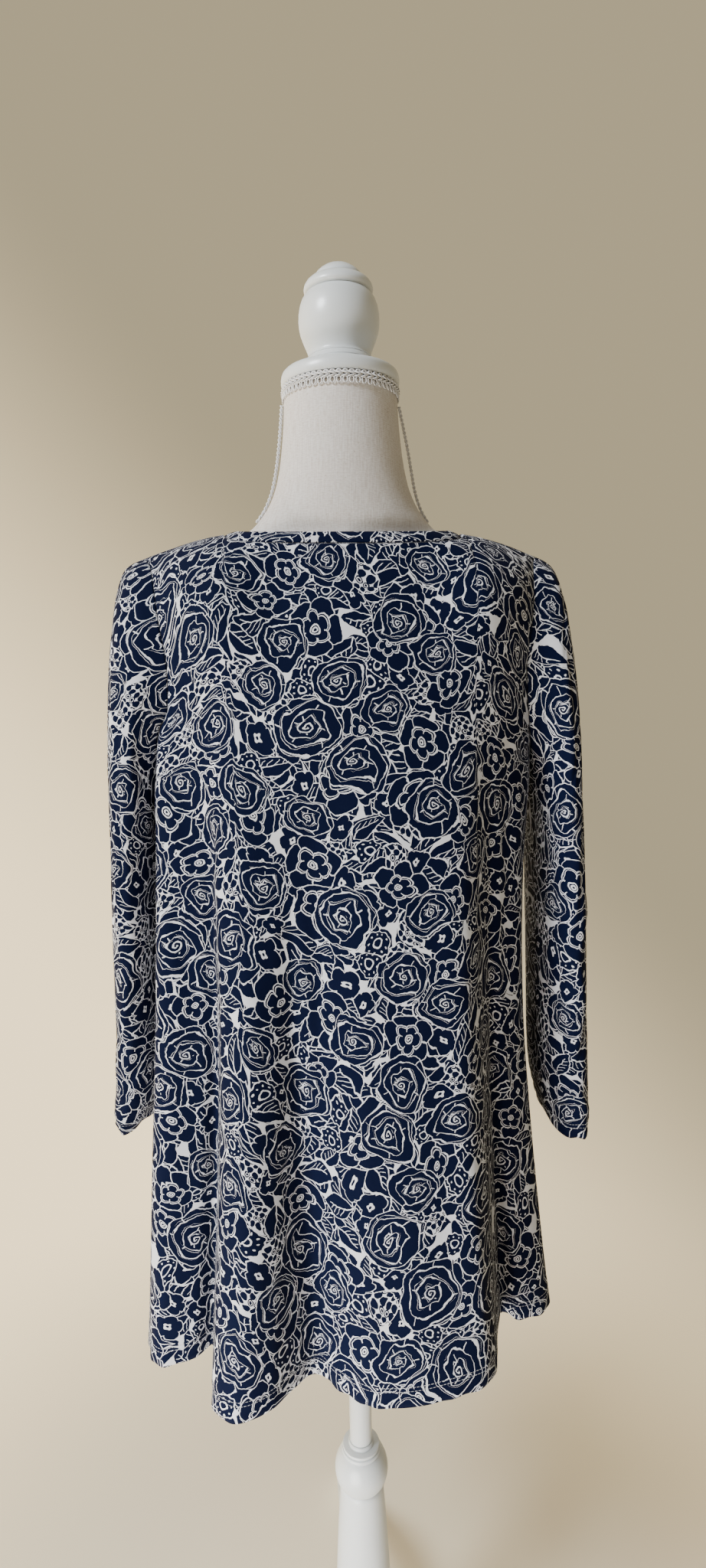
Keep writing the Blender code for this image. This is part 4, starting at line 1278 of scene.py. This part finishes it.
def draw_rose(r, place, distance, bearing, angle, turn):
    """Broad petals wound round a small heart, parted by uneven double lines."""
    edge = r.add(27.5, r.scaled(r.wave(angle, 4.0), 1.2), r.scaled(r.wave(angle, 7.0, 1.3), 1.0))
    leaning = r.math("MULTIPLY_ADD", distance, 0.20, r.scaled(angle, 2.5))
    wound = r.add(
        r.math("POWER", r.scaled(distance, 1 / 4.0), 0.74),
        r.scaled(r.size_of(r.math("SINE", leaning)), 0.30),
        r.scaled(r.wave(angle, 3.0, 0.7), 0.09),
        r.scaled(bearing, 1 / (2 * pi)),
    )
    row = r.math("FLOOR", wound)
    across = r.math("SUBTRACT", wound, row)
    swelling = r.math("SINE", r.add(r.scaled(angle, 2.0), r.scaled(row, 2.4)))
    width = r.math("MULTIPLY_ADD", swelling, 0.060, 0.124)
    line = r.less(across, width)
    fading = r.math("MAXIMUM", r.math("SINE", r.add(angle, r.scaled(row, 1.9))), 0.0)
    second = r.less(r.size_of(r.math("SUBTRACT", across, 0.31)), r.scaled(fading, 0.020))
    petal = r.part_of(r.add(r.scaled(bearing, 3 / (2 * pi)), r.scaled(row, 0.37), turn))
    from_split = r.scaled(r.scaled(r.size_of(r.math("SUBTRACT", petal, 0.5)), distance), 2 * pi / 3)
    split = r.both(r.less(from_split, 0.42), r.less(across, 0.72))
    white = r.either(line, second, split)
    tight = r.add(r.scaled(distance, 1 / 3.2), r.scaled(r.wave(angle, 3.0), 0.12), r.scaled(bearing, 1 / (2 * pi)))
    heart = r.more(r.part_of(tight), 0.36)
    ink = r.pick(r.less(distance, 5.6), r.opposite(white), heart)
    ink = r.both(ink, r.less(distance, edge))
    return ink, r.less(distance, r.add(edge, 0.8))


def draw_camellia(r, place, distance, bearing, angle, turn):
    """Five broad petals behind a smaller open flower with a white eye."""
    lobe = r.math("POWER", r.size_of(r.math("COSINE", r.scaled(angle, 2.5))), 0.5)
    edge = r.math("MULTIPLY_ADD", lobe, 5.4, 19.6)
    fifth = r.scaled(angle, 2.5 / pi)
    off_gap = r.size_of(r.math("SUBTRACT", r.part_of(fifth), 0.5))
    off_middle = r.size_of(r.math("SUBTRACT", r.part_of(r.add(fifth, 0.5)), 0.5))
    gap = r.scaled(r.scaled(off_gap, distance), pi / 2.5)
    middle = r.scaled(r.scaled(off_middle, distance), pi / 2.5)
    inner_lobe = r.math("POWER", r.size_of(r.math("SINE", r.scaled(angle, 2.5))), 0.5)
    second = r.math("MULTIPLY_ADD", inner_lobe, 4.4, 10.4)
    within = r.less(distance, second)
    outline = r.less(r.size_of(r.math("SUBTRACT", distance, second)), 0.58)
    echo = r.less(r.size_of(r.math("SUBTRACT", distance, r.math("SUBTRACT", second, 2.1))), 0.35)
    outer_cut = r.both(r.less(gap, 0.50), r.opposite(within))
    inner_cut = r.both(r.both(r.less(middle, 0.42), within), r.more(distance, 7.4))
    white = r.either(outline, echo, outer_cut, inner_cut)
    ring = r.less(r.size_of(r.math("SUBTRACT", distance, 2.6)), 0.45)
    dot = r.less(distance, 1.0)
    ink = r.pick(r.less(distance, 4.2), r.opposite(white), r.either(ring, dot))
    ink = r.both(ink, r.less(distance, edge))
    return ink, r.less(distance, r.add(edge, 0.9))


def draw_small_flower(r, place, distance, bearing, angle, turn):
    """Five plain round petals, one patch of ink, round a white eye."""
    lobe = r.math("POWER", r.size_of(r.math("COSINE", r.scaled(angle, 2.5))), 0.6)
    edge = r.math("MULTIPLY_ADD", lobe, 3.4, 9.4)
    white_to = r.math("MULTIPLY_ADD", r.wave(angle, 4.0), 0.6, 3.1)
    ink = r.pick(r.less(distance, white_to), 1.0, r.less(distance, 1.15))
    return r.both(ink, r.less(distance, edge)), r.less(distance, r.add(edge, 0.8))


def draw_leaf(r, place, distance, bearing, angle, turn):
    """A pointed leaf with a white midrib, and a few strokes on one of its halves."""
    turned = r.node("ShaderNodeVectorRotate", rotation_type="Z_AXIS")
    r.feed(turned.inputs["Vector"], place)
    r.feed(turned.inputs["Angle"], r.scaled(turn, 2 * pi))
    axes = r.node("ShaderNodeSeparateXYZ")
    r.feed(axes.inputs[0], turned.outputs[0])
    along, side = axes.outputs["X"], axes.outputs["Y"]
    bow = r.scaled(r.scaled(along, along), 0.010)
    side = r.add(side, bow)
    aside = r.size_of(side)
    share = r.scaled(along, 1 / 18.0)
    belly = r.scaled(r.opposite(r.scaled(share, share)), r.math("MULTIPLY_ADD", share, -0.28, 1.0))
    edge = r.scaled(belly, 9.9)
    rib = r.both(r.less(aside, r.math("MULTIPLY_ADD", share, -0.20, 0.46)), r.less(along, 11.0))
    slant = r.part_of(r.scaled(r.math("SUBTRACT", along, r.scaled(aside, 0.9)), 1 / 5.4))
    reach = r.both(r.less(aside, r.scaled(edge, 0.70)), r.less(r.size_of(along), 10.5))
    veins = r.both(r.both(r.less(slant, 0.14), reach), r.more(side, 0.0))
    ink = r.both(r.less(aside, edge), r.opposite(r.either(rib, veins)))
    return ink, r.less(aside, r.add(edge, 1.0))


def draw_berries(r, place, distance, bearing, angle, turn):
    """A cluster of small round berries, some of them with a ring."""
    cells = r.node("ShaderNodeTexVoronoi", voronoi_dimensions="2D", feature="F1")
    r.feed(cells.inputs["Vector"], r.vector("ADD", place, (3.7, 1.9, 0.0)))
    cells.inputs["Scale"].default_value = 1 / 6.2
    cells.inputs["Randomness"].default_value = 0.18
    chance = r.node("ShaderNodeSeparateColor")
    r.feed(chance.inputs[0], cells.outputs["Color"])
    apart = r.scaled(cells.outputs["Distance"], 6.2)
    ring = r.both(r.less(r.size_of(r.math("SUBTRACT", apart, 1.6)), 0.30), r.more(chance.outputs[0], 0.7))
    edge = r.add(12.8, r.scaled(r.wave(angle, 3.0), 1.4))
    ink = r.both(r.both(r.less(apart, 2.95), r.opposite(ring)), r.less(distance, edge))
    return ink, r.less(distance, r.add(edge, 0.9))


def draw_daisy(r, place, distance, bearing, angle, turn):
    """A round daisy with a ring in its middle and dots near its edge."""
    edge = r.add(11.2, r.scaled(r.wave(angle, 9.0), 0.6))
    spot = r.math("SUBTRACT", r.part_of(r.scaled(angle, 9 / (2 * pi))), 0.5)
    aside = r.scaled(spot, 2 * pi * 8.3 / 9)
    out = r.math("SUBTRACT", distance, 8.3)
    dot = r.less(r.add(r.scaled(aside, aside), r.scaled(out, out)), 0.7)
    ring = r.less(r.size_of(r.math("SUBTRACT", distance, 4.0)), 0.65)
    ink = r.both(r.less(distance, edge), r.opposite(r.either(dot, ring)))
    return ink, r.less(distance, r.add(edge, 0.9))


def scattered(r, cloth_place, spacing, looseness, shift, quarter):
    """A loose layout of one motif a cell: place from its middle, room to the cell's edge, random numbers."""
    moved = r.node("ShaderNodeVectorRotate", rotation_type="Z_AXIS")
    r.feed(moved.inputs["Vector"], r.vector("ADD", cloth_place, shift))
    moved.inputs["Angle"].default_value = radians(quarter)
    found = []
    for feature in ("F1", "DISTANCE_TO_EDGE"):
        cells = r.node("ShaderNodeTexVoronoi", voronoi_dimensions="2D", feature=feature)
        r.feed(cells.inputs["Vector"], moved.outputs[0])
        cells.inputs["Scale"].default_value = 1 / spacing
        cells.inputs["Randomness"].default_value = looseness
        found.append(cells)
    place = r.vector("SUBTRACT", moved.outputs[0], found[0].outputs["Position"])
    room = r.scaled(found[1].outputs["Distance"], spacing)
    chance = r.node("ShaderNodeSeparateColor")
    r.feed(chance.inputs[0], found[0].outputs["Color"])
    return place, room, chance.outputs[0], chance.outputs[1], chance.outputs[2]


def resized(r, place, size):
    made = r.node("ShaderNodeVectorMath", operation="SCALE")
    r.feed(made.inputs[0], place)
    r.feed(made.inputs["Scale"], size)
    return made.outputs["Vector"]


def stamped(r, tree, place, turn, size):
    group = r.node("ShaderNodeGroup")
    group.node_tree = tree
    r.feed(group.inputs["Place"], resized(r, place, size))
    r.feed(group.inputs["Turn"], turn)
    return group.outputs["Ink"], group.outputs["Cover"]


def flower_print():
    """The print as a group, from a place on the cloth in metres: 1 is navy ink and 0 is bare cloth."""
    rose = motif("rose", draw_rose)
    camellia = motif("camellia", draw_camellia)
    small_flower = motif("small flower", draw_small_flower)
    leaf = motif("leaf", draw_leaf)
    berries = motif("berries", draw_berries)
    daisy = motif("dotted daisy", draw_daisy)
    tree = bpy.data.node_groups.new("flower print", "ShaderNodeTree")
    tree.interface.new_socket("Cloth", in_out="INPUT", socket_type="NodeSocketVector")
    tree.interface.new_socket("Ink", in_out="OUTPUT", socket_type="NodeSocketFloat")
    r = Recipe(tree)
    given, out = r.node("NodeGroupInput"), r.node("NodeGroupOutput")
    flat = resized(r, given.outputs["Cloth"], 1000.0 / PRINT_SCALE)
    swollen = resized(r, r.vector("SUBTRACT", r.noise(flat, 0.022, 1.0)[1], (0.5, 0.5, 0.5)), 26.0)
    flat = r.vector("ADD", flat, swollen)
    shaky = resized(r, r.vector("SUBTRACT", r.noise(flat, 0.10, 1.0)[1], (0.5, 0.5, 0.5)), 4.4)
    fine = resized(r, r.vector("SUBTRACT", r.noise(flat, 0.34, 1.0)[1], (0.5, 0.5, 0.5)), 1.2)
    cut = r.vector("MULTIPLY", r.vector("ADD", r.vector("ADD", flat, shaky), fine), (1.0, 1.0, 0.0))

    place, room, one, two, three = scattered(r, cut, 21.5, 0.8, (11.0, 5.0, 0.0), 12.0)
    ink = stamped(r, leaf, place, two, r.math("MULTIPLY_ADD", three, 0.25, 0.80))[0]
    ink = r.both(ink, r.both(r.more(room, 0.4), r.more(one, 0.02)))

    place, room, one, two, three = scattered(r, cut, 27.5, 0.7, (3.0, 40.0, 0.0), 33.0)
    size = r.math("MULTIPLY_ADD", three, 0.18, 0.88)
    kinds = ((leaf, -0.1, 0.28), (small_flower, 0.28, 0.64), (berries, 0.64, 0.80), (daisy, 0.80, 1.1))
    for kind, low, high in kinds:
        here = r.both(r.more(one, low), r.less(one, high))
        mark, cover = stamped(r, kind, place, two, size)
        ink = r.pick(r.both(here, cover), ink, r.both(mark, r.more(room, 0.4)))

    place, room, one, two, three = scattered(r, cut, 66.0, 0.7, (140.0, 23.0, 0.0), 20.0)
    mark, cover = stamped(r, camellia, place, two, r.math("MULTIPLY_ADD", three, 0.22, 0.88))
    ink = r.pick(r.both(r.less(one, 0.75), cover), ink, r.both(mark, r.more(room, 0.6)))

    place, room, one, two, three = scattered(r, cut, 71.0, 0.55, (61.0, 17.0, 0.0), 38.0)
    mark, cover = stamped(r, rose, place, two, r.math("MULTIPLY_ADD", three, 0.42, 0.86))
    ink = r.pick(r.both(r.less(one, 0.90), cover), ink, r.both(mark, r.more(room, 0.6)))
    r.feed(out.inputs["Ink"], ink)
    return tree


def finish(name, colour, roughness):
    """A plain start for a finish: its recipe, its shader and its place on the object."""
    made = bpy.data.materials.new(name)
    made.use_nodes = True
    r = Recipe(made.node_tree)
    shader = made.node_tree.nodes["Principled BSDF"]
    shader.inputs["Base Color"].default_value = (*colour, 1.0)
    shader.inputs["Roughness"].default_value = roughness
    made.diffuse_color = (*colour, 1.0)
    return made, r, shader


def bumped(r, shader, height, strength, distance):
    bump = r.node("ShaderNodeBump")
    bump.inputs["Strength"].default_value = strength
    bump.inputs["Distance"].default_value = distance
    r.feed(bump.inputs["Height"], height)
    r.feed(shader.inputs["Normal"], bump.outputs["Normal"])


def jersey(name, printed, wrong_side):
    """Soft knitted cotton with the flower print, or its paler wrong side."""
    made, r, shader = finish(name, CLOTH_WHITE, 0.82)
    shader.inputs["Sheen Weight"].default_value = 0.01
    shader.inputs["Sheen Roughness"].default_value = 0.4
    shader.inputs["Specular IOR Level"].default_value = 0.06
    cloth = r.node("ShaderNodeUVMap", uv_map="cloth").outputs[0]
    group = r.node("ShaderNodeGroup")
    group.node_tree = printed
    r.feed(group.inputs["Cloth"], cloth)
    ink = group.outputs["Ink"]
    thread = r.noise(cloth, 2600.0, 2.0)[0]
    faded = r.noise(cloth, 14.0, 3.0)[0]
    navy = r.tint(thread, tuple(c * 0.75 for c in NAVY), tuple(c * 1.45 for c in NAVY))
    bare = r.tint(faded, tuple(c * 0.93 for c in CLOTH_WHITE), CLOTH_WHITE)
    if wrong_side:
        navy = r.tint(0.55, navy, CLOTH_WHITE)
    colour = r.tint(ink, bare, navy)
    r.feed(shader.inputs["Base Color"], colour)
    axes = r.node("ShaderNodeSeparateXYZ")
    r.feed(axes.inputs[0], cloth)
    wales = r.wave(axes.outputs["X"], 2 * pi / 0.0009)
    courses = r.wave(axes.outputs["Y"], 2 * pi / 0.0007)
    knit = r.add(r.scaled(wales, 0.5), r.scaled(courses, 0.25), r.scaled(thread, 0.8))
    bumped(r, shader, knit, 0.35, 0.00012)
    return made


def linen():
    """Off-white woven cover of the form: fine threads, a few thicker slubs and a faint blush."""
    made, r, shader = finish("form linen", LINEN, 0.9)
    shader.inputs["Sheen Weight"].default_value = 0.12
    shader.inputs["Specular IOR Level"].default_value = 0.25
    where = r.node("ShaderNodeTexCoord").outputs["Object"]
    centred = r.vector("SUBTRACT", where, tuple(AXIS))
    axes = r.node("ShaderNodeSeparateXYZ")
    r.feed(axes.inputs[0], centred)
    bearing = r.math("ARCTAN2", axes.outputs["Y"], axes.outputs["X"])
    warp = r.wave(bearing, 360.0)
    weft = r.wave(axes.outputs["Z"], 2 * pi / 0.0011)
    long_place = r.node("ShaderNodeCombineXYZ")
    r.feed(long_place.inputs[0], r.scaled(bearing, 16.0))
    r.feed(long_place.inputs[1], r.scaled(axes.outputs["Z"], 760.0))
    slub = r.noise(long_place.outputs[0], 1.0, 2.0)[0]
    upright = r.node("ShaderNodeCombineXYZ")
    r.feed(upright.inputs[0], r.scaled(bearing, 52.0))
    r.feed(upright.inputs[1], r.scaled(axes.outputs["Z"], 60.0))
    slub_up = r.noise(upright.outputs[0], 1.0, 2.0)[0]
    blotch = r.noise(where, 26.0, 3.0)[0]
    mixed = r.add(r.scaled(slub, 0.5), r.scaled(slub_up, 0.5))
    sharper = r.node("ShaderNodeMapRange", interpolation_type="SMOOTHSTEP")
    r.feed(sharper.inputs["Value"], mixed)
    sharper.inputs["From Min"].default_value = 0.34
    sharper.inputs["From Max"].default_value = 0.64
    fleck = r.noise(where, 420.0, 2.0)[0]
    fleck = r.both(r.more(fleck, 0.70), r.more(blotch, 0.48))
    tone = r.tint(sharper.outputs["Result"], (0.56, 0.53, 0.505), (0.72, 0.715, 0.71))
    tone = r.tint(r.scaled(blotch, 0.35), tone, (0.77, 0.66, 0.63))
    tone = r.tint(r.scaled(fleck, 0.5), tone, (0.40, 0.33, 0.27))
    r.feed(shader.inputs["Base Color"], tone)
    height = r.add(r.scaled(r.add(warp, weft), 0.3), r.scaled(mixed, 2.2))
    bumped(r, shader, height, 0.5, 0.00025)
    return made


def paint(name, colour, roughness, gloss):
    """White paint with brush marks, a few small dents and a little soiling."""
    made, r, shader = finish(name, colour, roughness)
    shader.inputs["Coat Weight"].default_value = gloss
    shader.inputs["Coat Roughness"].default_value = 0.2
    where = r.node("ShaderNodeTexCoord").outputs["Object"]
    drawn = r.node("ShaderNodeMapping")
    drawn.inputs["Scale"].default_value = (60.0, 60.0, 420.0)
    r.feed(drawn.inputs["Vector"], where)
    brush = r.noise(drawn.outputs[0], 1.0, 2.0)[0]
    soil = r.noise(where, 18.0, 4.0)[0]
    tone = r.tint(r.scaled(soil, 0.5), colour, tuple(c * f for c, f in zip(colour, (0.90, 0.89, 0.86))))
    r.feed(shader.inputs["Base Color"], tone)
    rough = r.math("MULTIPLY_ADD", soil, 0.18, roughness - 0.09)
    r.feed(shader.inputs["Roughness"], rough)
    pits = r.node("ShaderNodeTexVoronoi", feature="F1")
    r.feed(pits.inputs["Vector"], where)
    pits.inputs["Scale"].default_value = 30.0
    pit = r.node("ShaderNodeMapRange", interpolation_type="SMOOTHSTEP")
    r.feed(pit.inputs["Value"], pits.outputs["Distance"])
    pit.inputs["From Max"].default_value = 0.05
    bumped(r, shader, r.add(brush, r.scaled(pit.outputs["Result"], 3.0)), 0.3, 0.0002)
    return made


def thread_finish(name, colour, pitch):
    """Shiny spun thread, with its twist as fine slanting ridges and painted shade in the grooves between them."""
    made, r, shader = finish(name, colour, 0.62)
    shader.inputs["Sheen Weight"].default_value = 0.3
    where = r.node("ShaderNodeTexCoord").outputs["Object"]
    axes = r.node("ShaderNodeSeparateXYZ")
    r.feed(axes.inputs[0], where)
    slant = r.add(r.scaled(axes.outputs["X"], 0.6), r.scaled(axes.outputs["Y"], 0.6), axes.outputs["Z"])
    ridges = r.wave(slant, 2 * pi / pitch)
    # Darker in the grooves of the twist: painted shade following the ridges' bump
    tone = r.tint(r.math("MULTIPLY_ADD", ridges, 0.2, 0.5), tuple(c * 0.86 for c in colour), colour)
    r.feed(shader.inputs["Base Color"], tone)
    bumped(r, shader, ridges, 0.5, 0.00015)
    return made


def area_light(name, place, aim, size, power, colour):
    light = bpy.data.lights.new(name, "AREA")
    light.shape = "DISK"
    light.size = size
    light.energy = power
    light.color = colour
    holder = bpy.data.objects.new(name, light)
    direction = Vector(aim) - Vector(place)
    facing = direction.to_track_quat("-Z", "Y").to_matrix().to_4x4()
    holder.matrix_world = Matrix.Translation(Vector(place)) @ facing
    bpy.context.scene.collection.objects.link(holder)


# Where the photographer stands, from the pole's axis: the view dips a little and leans a little
VIEW_YAW = radians(5.3)
VIEW_DIP = radians(8.0)
VIEW_LEAN = radians(1.08)
EYE = (-0.0051, 0.832, 1.30)
LENS = 18.457


def set_camera():
    turn = Matrix.Rotation(-VIEW_YAW, 3, "Z")
    eye = turn @ Vector(EYE) + AXIS
    forward = turn @ Vector((0.0, -cos(VIEW_DIP), -sin(VIEW_DIP)))
    level = turn @ Vector((-1.0, 0.0, 0.0))
    upright = level.cross(forward)
    right = cos(VIEW_LEAN) * level - sin(VIEW_LEAN) * upright
    up = sin(VIEW_LEAN) * level + cos(VIEW_LEAN) * upright
    facing = Matrix((right, up, -forward)).transposed()
    camera = bpy.data.cameras.new("view")
    camera.sensor_width = 36.0
    camera.sensor_fit = "AUTO"
    camera.lens = LENS
    camera.clip_start = 0.02
    holder = bpy.data.objects.new("view", camera)
    holder.matrix_world = Matrix.Translation(eye) @ facing.to_4x4()
    bpy.context.scene.collection.objects.link(holder)
    bpy.context.scene.camera = holder


def set_stage():
    made, r, shader = finish("pale floor", (0.88, 0.78, 0.60), 0.9)
    where = r.vector("SUBTRACT", r.node("ShaderNodeTexCoord").outputs["Object"], tuple(AXIS))
    fade = r.node("ShaderNodeMapRange", interpolation_type="SMOOTHSTEP")
    r.feed(fade.inputs["Value"], r.vector("LENGTH", where))
    fade.inputs["From Min"].default_value = 0.34
    fade.inputs["From Max"].default_value = 1.2
    fade.inputs["To Min"].default_value = 1.0
    fade.inputs["To Max"].default_value = 0.0
    r.feed(shader.inputs["Alpha"], fade.outputs["Result"])
    mesh = bpy.data.meshes.new("floor")
    mesh.from_pydata([(-2, -2, 0), (2, -2, 0), (2, 2, 0), (-2, 2, 0)], [], [(0, 1, 2, 3)])
    mesh.materials.append(made)
    floor = bpy.data.objects.new("floor", mesh)
    bpy.context.scene.collection.objects.link(floor)
    world = bpy.data.worlds.new("room")
    world.use_nodes = True
    r = Recipe(world.node_tree)
    axes = r.node("ShaderNodeSeparateXYZ")
    r.feed(axes.inputs[0], r.node("ShaderNodeTexCoord").outputs["Generated"])
    low_left = r.math("SUBTRACT", axes.outputs["X"], r.scaled(axes.outputs["Z"], 0.9))
    share = r.node("ShaderNodeMapRange", interpolation_type="SMOOTHSTEP")
    r.feed(share.inputs["Value"], low_left)
    share.inputs["From Min"].default_value = -0.22
    share.inputs["From Max"].default_value = 0.65
    sky = world.node_tree.nodes["Background"]
    behind_view = r.node("ShaderNodeMapRange", interpolation_type="SMOOTHSTEP")
    r.feed(behind_view.inputs["Value"], axes.outputs["Y"])
    behind_view.inputs["From Min"].default_value = -0.15
    behind_view.inputs["From Max"].default_value = 0.6
    behind_view.inputs["To Min"].default_value = 1.0
    behind_view.inputs["To Max"].default_value = 0.28
    r.feed(sky.inputs["Strength"], behind_view.outputs["Result"])
    r.feed(sky.inputs["Color"], r.tint(share.outputs["Result"], (0.50, 0.42, 0.262), (2.18, 1.74, 1.02)))
    bpy.context.scene.world = world
    middle = AXIS + Vector((0, 0, 1.1))
    area_light("window", AXIS + Vector((1.8, 1.2, 2.8)), middle, 0.8, 90.0, (0.90, 0.95, 1.0))
    area_light("room_fill", AXIS + Vector((-0.4, 2.0, 1.3)), middle, 1.8, 3.0, (0.93, 0.96, 1.0))
    low = AXIS + Vector((0, 0, 0.28))
    area_light("low_window", AXIS + Vector((0.45, 0.75, 0.2)), low, 0.6, 15.0, (1.0, 0.97, 0.93))
    area_light("far_side", AXIS + Vector((0.3, -2.2, 1.9)), middle, 2.0, 9.0, (1.0, 0.99, 0.97))


def neck_part(panel):
    """The columns of a panel that end at the neckline."""
    piece, grid, normals, angles = panel
    corner = neck_corner()
    here = (angles > corner + 0.2) & (angles < 179.8 - corner)
    return piece, grid[:, here], normals[:, here]


def stitched(name, rule, grid, normals, closed, distances, rows, piece, finish_of_thread):
    """Rows of topstitching along a grid's rows, at these distances from its edge."""
    lines = []
    for wanted in distances:
        share = np.interp(wanted, run_length(rows, 0)[:, 0], np.arange(len(rows)))
        low = int(share)
        part = share - low
        line = grid[low] * (1 - part) + grid[low + 1] * part
        out = unit(normals[low] * (1 - part) + normals[low + 1] * part)
        lines.append(line + out * THREAD * 0.3)
    return repeat_along(name, rule, lines, closed, STITCH_STEP, piece, finish_of_thread)


def main():
    printed = flower_print()
    outside = jersey("flower jersey", printed, False)
    wrong = jersey("flower jersey wrong side", printed, True)
    cloth = (outside, wrong)
    weave = linen()
    white_paint = paint("satin white paint", PAINT, 0.34, 0.25)
    white_metal = paint("white metal paint", PAINT, 0.24, 0.6)
    braid_thread = thread_finish("braid thread", BRAID_WHITE, 0.0011)
    stitch_thread = thread_finish("stitch thread", (0.62, 0.63, 0.68), 0.0005)
    # Near-black thread for the neck's stitches: partly the real stitch row, partly painted shadow of the seam under
    # the band
    neck_thread_and_seam_shadow = thread_finish("dark stitch thread and painted seam shadow", (0.012, 0.018, 0.045), 0.0005)

    pieces = {}
    back = make_panel("back_of_the_tunic", 1, BACK_CREASES, 3, cloth)
    front = make_panel("front_of_the_tunic", -1, FRONT_CREASES, 5, cloth)
    left = make_sleeve("left_sleeve", False, LEFT_SLEEVE_CREASES, 7, cloth)
    right = make_sleeve("right_sleeve", True, RIGHT_SLEEVE_CREASES, 11, cloth)
    band = make_neckband(back[1:], front[1:], cloth)
    sheets = (
        (back[0], "back_panel", (1.02, 0.80), 0.57),
        (front[0], "front_panel", (0.80, 0.80), 0.48),
        (left[0], "sleeve_left", (0.42, 0.60), 0.20),
        (right[0], "sleeve_right", (0.42, 0.60), 0.20),
        (band[0], "neckband", (0.64, 0.017), None),
    )
    for piece, node, flat, area in sheets:
        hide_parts(node)
        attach(piece, "root")

    form = make_form(weave)
    pieces[form] = ("dress_form", "form_linen")
    pieces[make_turned("cap_of_the_neck", CAP_PROFILE, white_paint)] = ("neck_cap", "white_paint")
    pieces[make_turned("ball_finial", FINIAL_PROFILE, white_paint)] = ("finial", "white_paint")
    pieces[make_turned("turned_column", COLUMN_PROFILE, white_paint)] = ("stand_column", "white_paint")
    tube = (
        (0.0, POLE_TOP),
        (POLE_RADIUS - 0.6, POLE_TOP),
        (POLE_RADIUS, POLE_TOP - 0.6),
        (POLE_RADIUS, POLE_BOTTOM + 0.6),
        (POLE_RADIUS - 0.6, POLE_BOTTOM),
        (0.0, POLE_BOTTOM),
    )
    pieces[make_turned("metal_pole", tube, white_metal)] = ("pole", "white_metal")
    for number, direction in enumerate(LEG_DIRECTIONS, start=1):
        pieces[make_leg(f"stand_leg_{number}", direction, white_paint)] = (f"leg_{number}", "white_paint")
    pieces[make_cord("left_cord", 1, LEFT_SLACK, braid_thread)] = ("neck_cord_left", "white_braid")
    pieces[make_cord("right_cord", -1, RIGHT_SLACK, braid_thread)] = ("neck_cord_right", "white_braid")
    # The braid's band is near black: painted shade in the deep gaps between the braid's loops and strands
    braid_painted_shade = thread_finish("braid painted shade", (0.13, 0.13, 0.14), 0.0011)
    pieces[make_braid_band(braid_painted_shade)] = ("neck_braid", "white_braid")
    for piece, (node, slot) in pieces.items():
        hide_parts(node)
        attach(piece, "root")

    rule = repeat_tree()
    turns = np.arange(BRAID_LOOPS * 4) * 2 * pi / (BRAID_LOOPS * 4)
    step = 2 * pi * BRAID_FACE / BRAID_LOOPS
    braid_parts = []
    for name, height, path, closed in (
        ("hanging_loop", 1563.4, ring_path(2.8, 2.1, 18), True),
        ("lower_strand", 1566.9, [(0.1, 1.0, -3.9), (0.9, 0.0, 0.0), (0.1, -1.0, 3.9)], False),
        ("upper_strand", 1569.1, [(0.1, -1.0, -3.9), (0.9, 0.0, 0.0), (0.1, 1.0, 3.9)], False),
        ("top_loop", 1570.8, ring_path(1.0, 1.9, 12), True),
    ):
        piece = small_piece(name + "_pattern", path, LOOP_THREAD, 6, closed)
        level = np.full_like(turns, height)
        ring = np.stack((BRAID_FACE * np.cos(turns), BRAID_FACE * np.sin(turns), level), axis=-1)
        braid_parts.append(repeat_along("braid_" + name, rule, [ring], True, step, piece, braid_thread))
        bpy.data.objects.remove(piece, do_unlink=True)
    stitch_path = [(0.0, 0.0, -STITCH_LENGTH / 2), (0.0, 0.05, 0.0), (0.0, 0.0, STITCH_LENGTH / 2)]
    stitch = small_piece("stitch_pattern", stitch_path, THREAD, 5)
    loose = []
    for name, (piece, grid, normals, *_), closed, flip, distances in (
        ("back_hem_stitches", back, False, False, (14.5, 18.0)),
        ("front_hem_stitches", front, False, False, (14.5, 18.0)),
        ("left_cuff_stitches", left, True, True, (14.5, 18.0)),
        ("right_cuff_stitches", right, True, True, (14.5, 18.0)),
    ):
        rows, outs = (grid[::-1], normals[::-1]) if flip else (grid, normals)
        loose.append(stitched(name, rule, rows, outs, closed, distances, rows, stitch, stitch_thread))
    bpy.data.objects.remove(stitch, do_unlink=True)
    dark_path = [(0.0, 0.0, -NECK_STITCH_LENGTH / 2), (0.0, 0.05, 0.0), (0.0, 0.0, NECK_STITCH_LENGTH / 2)]
    dark_stitch = small_piece("dark_stitch_pattern", dark_path, NECK_THREAD, 5)
    for name, part in (("back_neck_stitches", neck_part(back)), ("front_neck_stitches", neck_part(front))):
        rows, outs = part[1][::-1], part[2][::-1]
        loose.append(stitched(name, rule, rows, outs, False, (NECK_STITCH_DOWN,), rows, dark_stitch, neck_thread_and_seam_shadow))
    bpy.data.objects.remove(dark_stitch, do_unlink=True)
    for piece in loose + braid_parts:
        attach(piece, "root")

    set_stage()
    set_camera()


main()
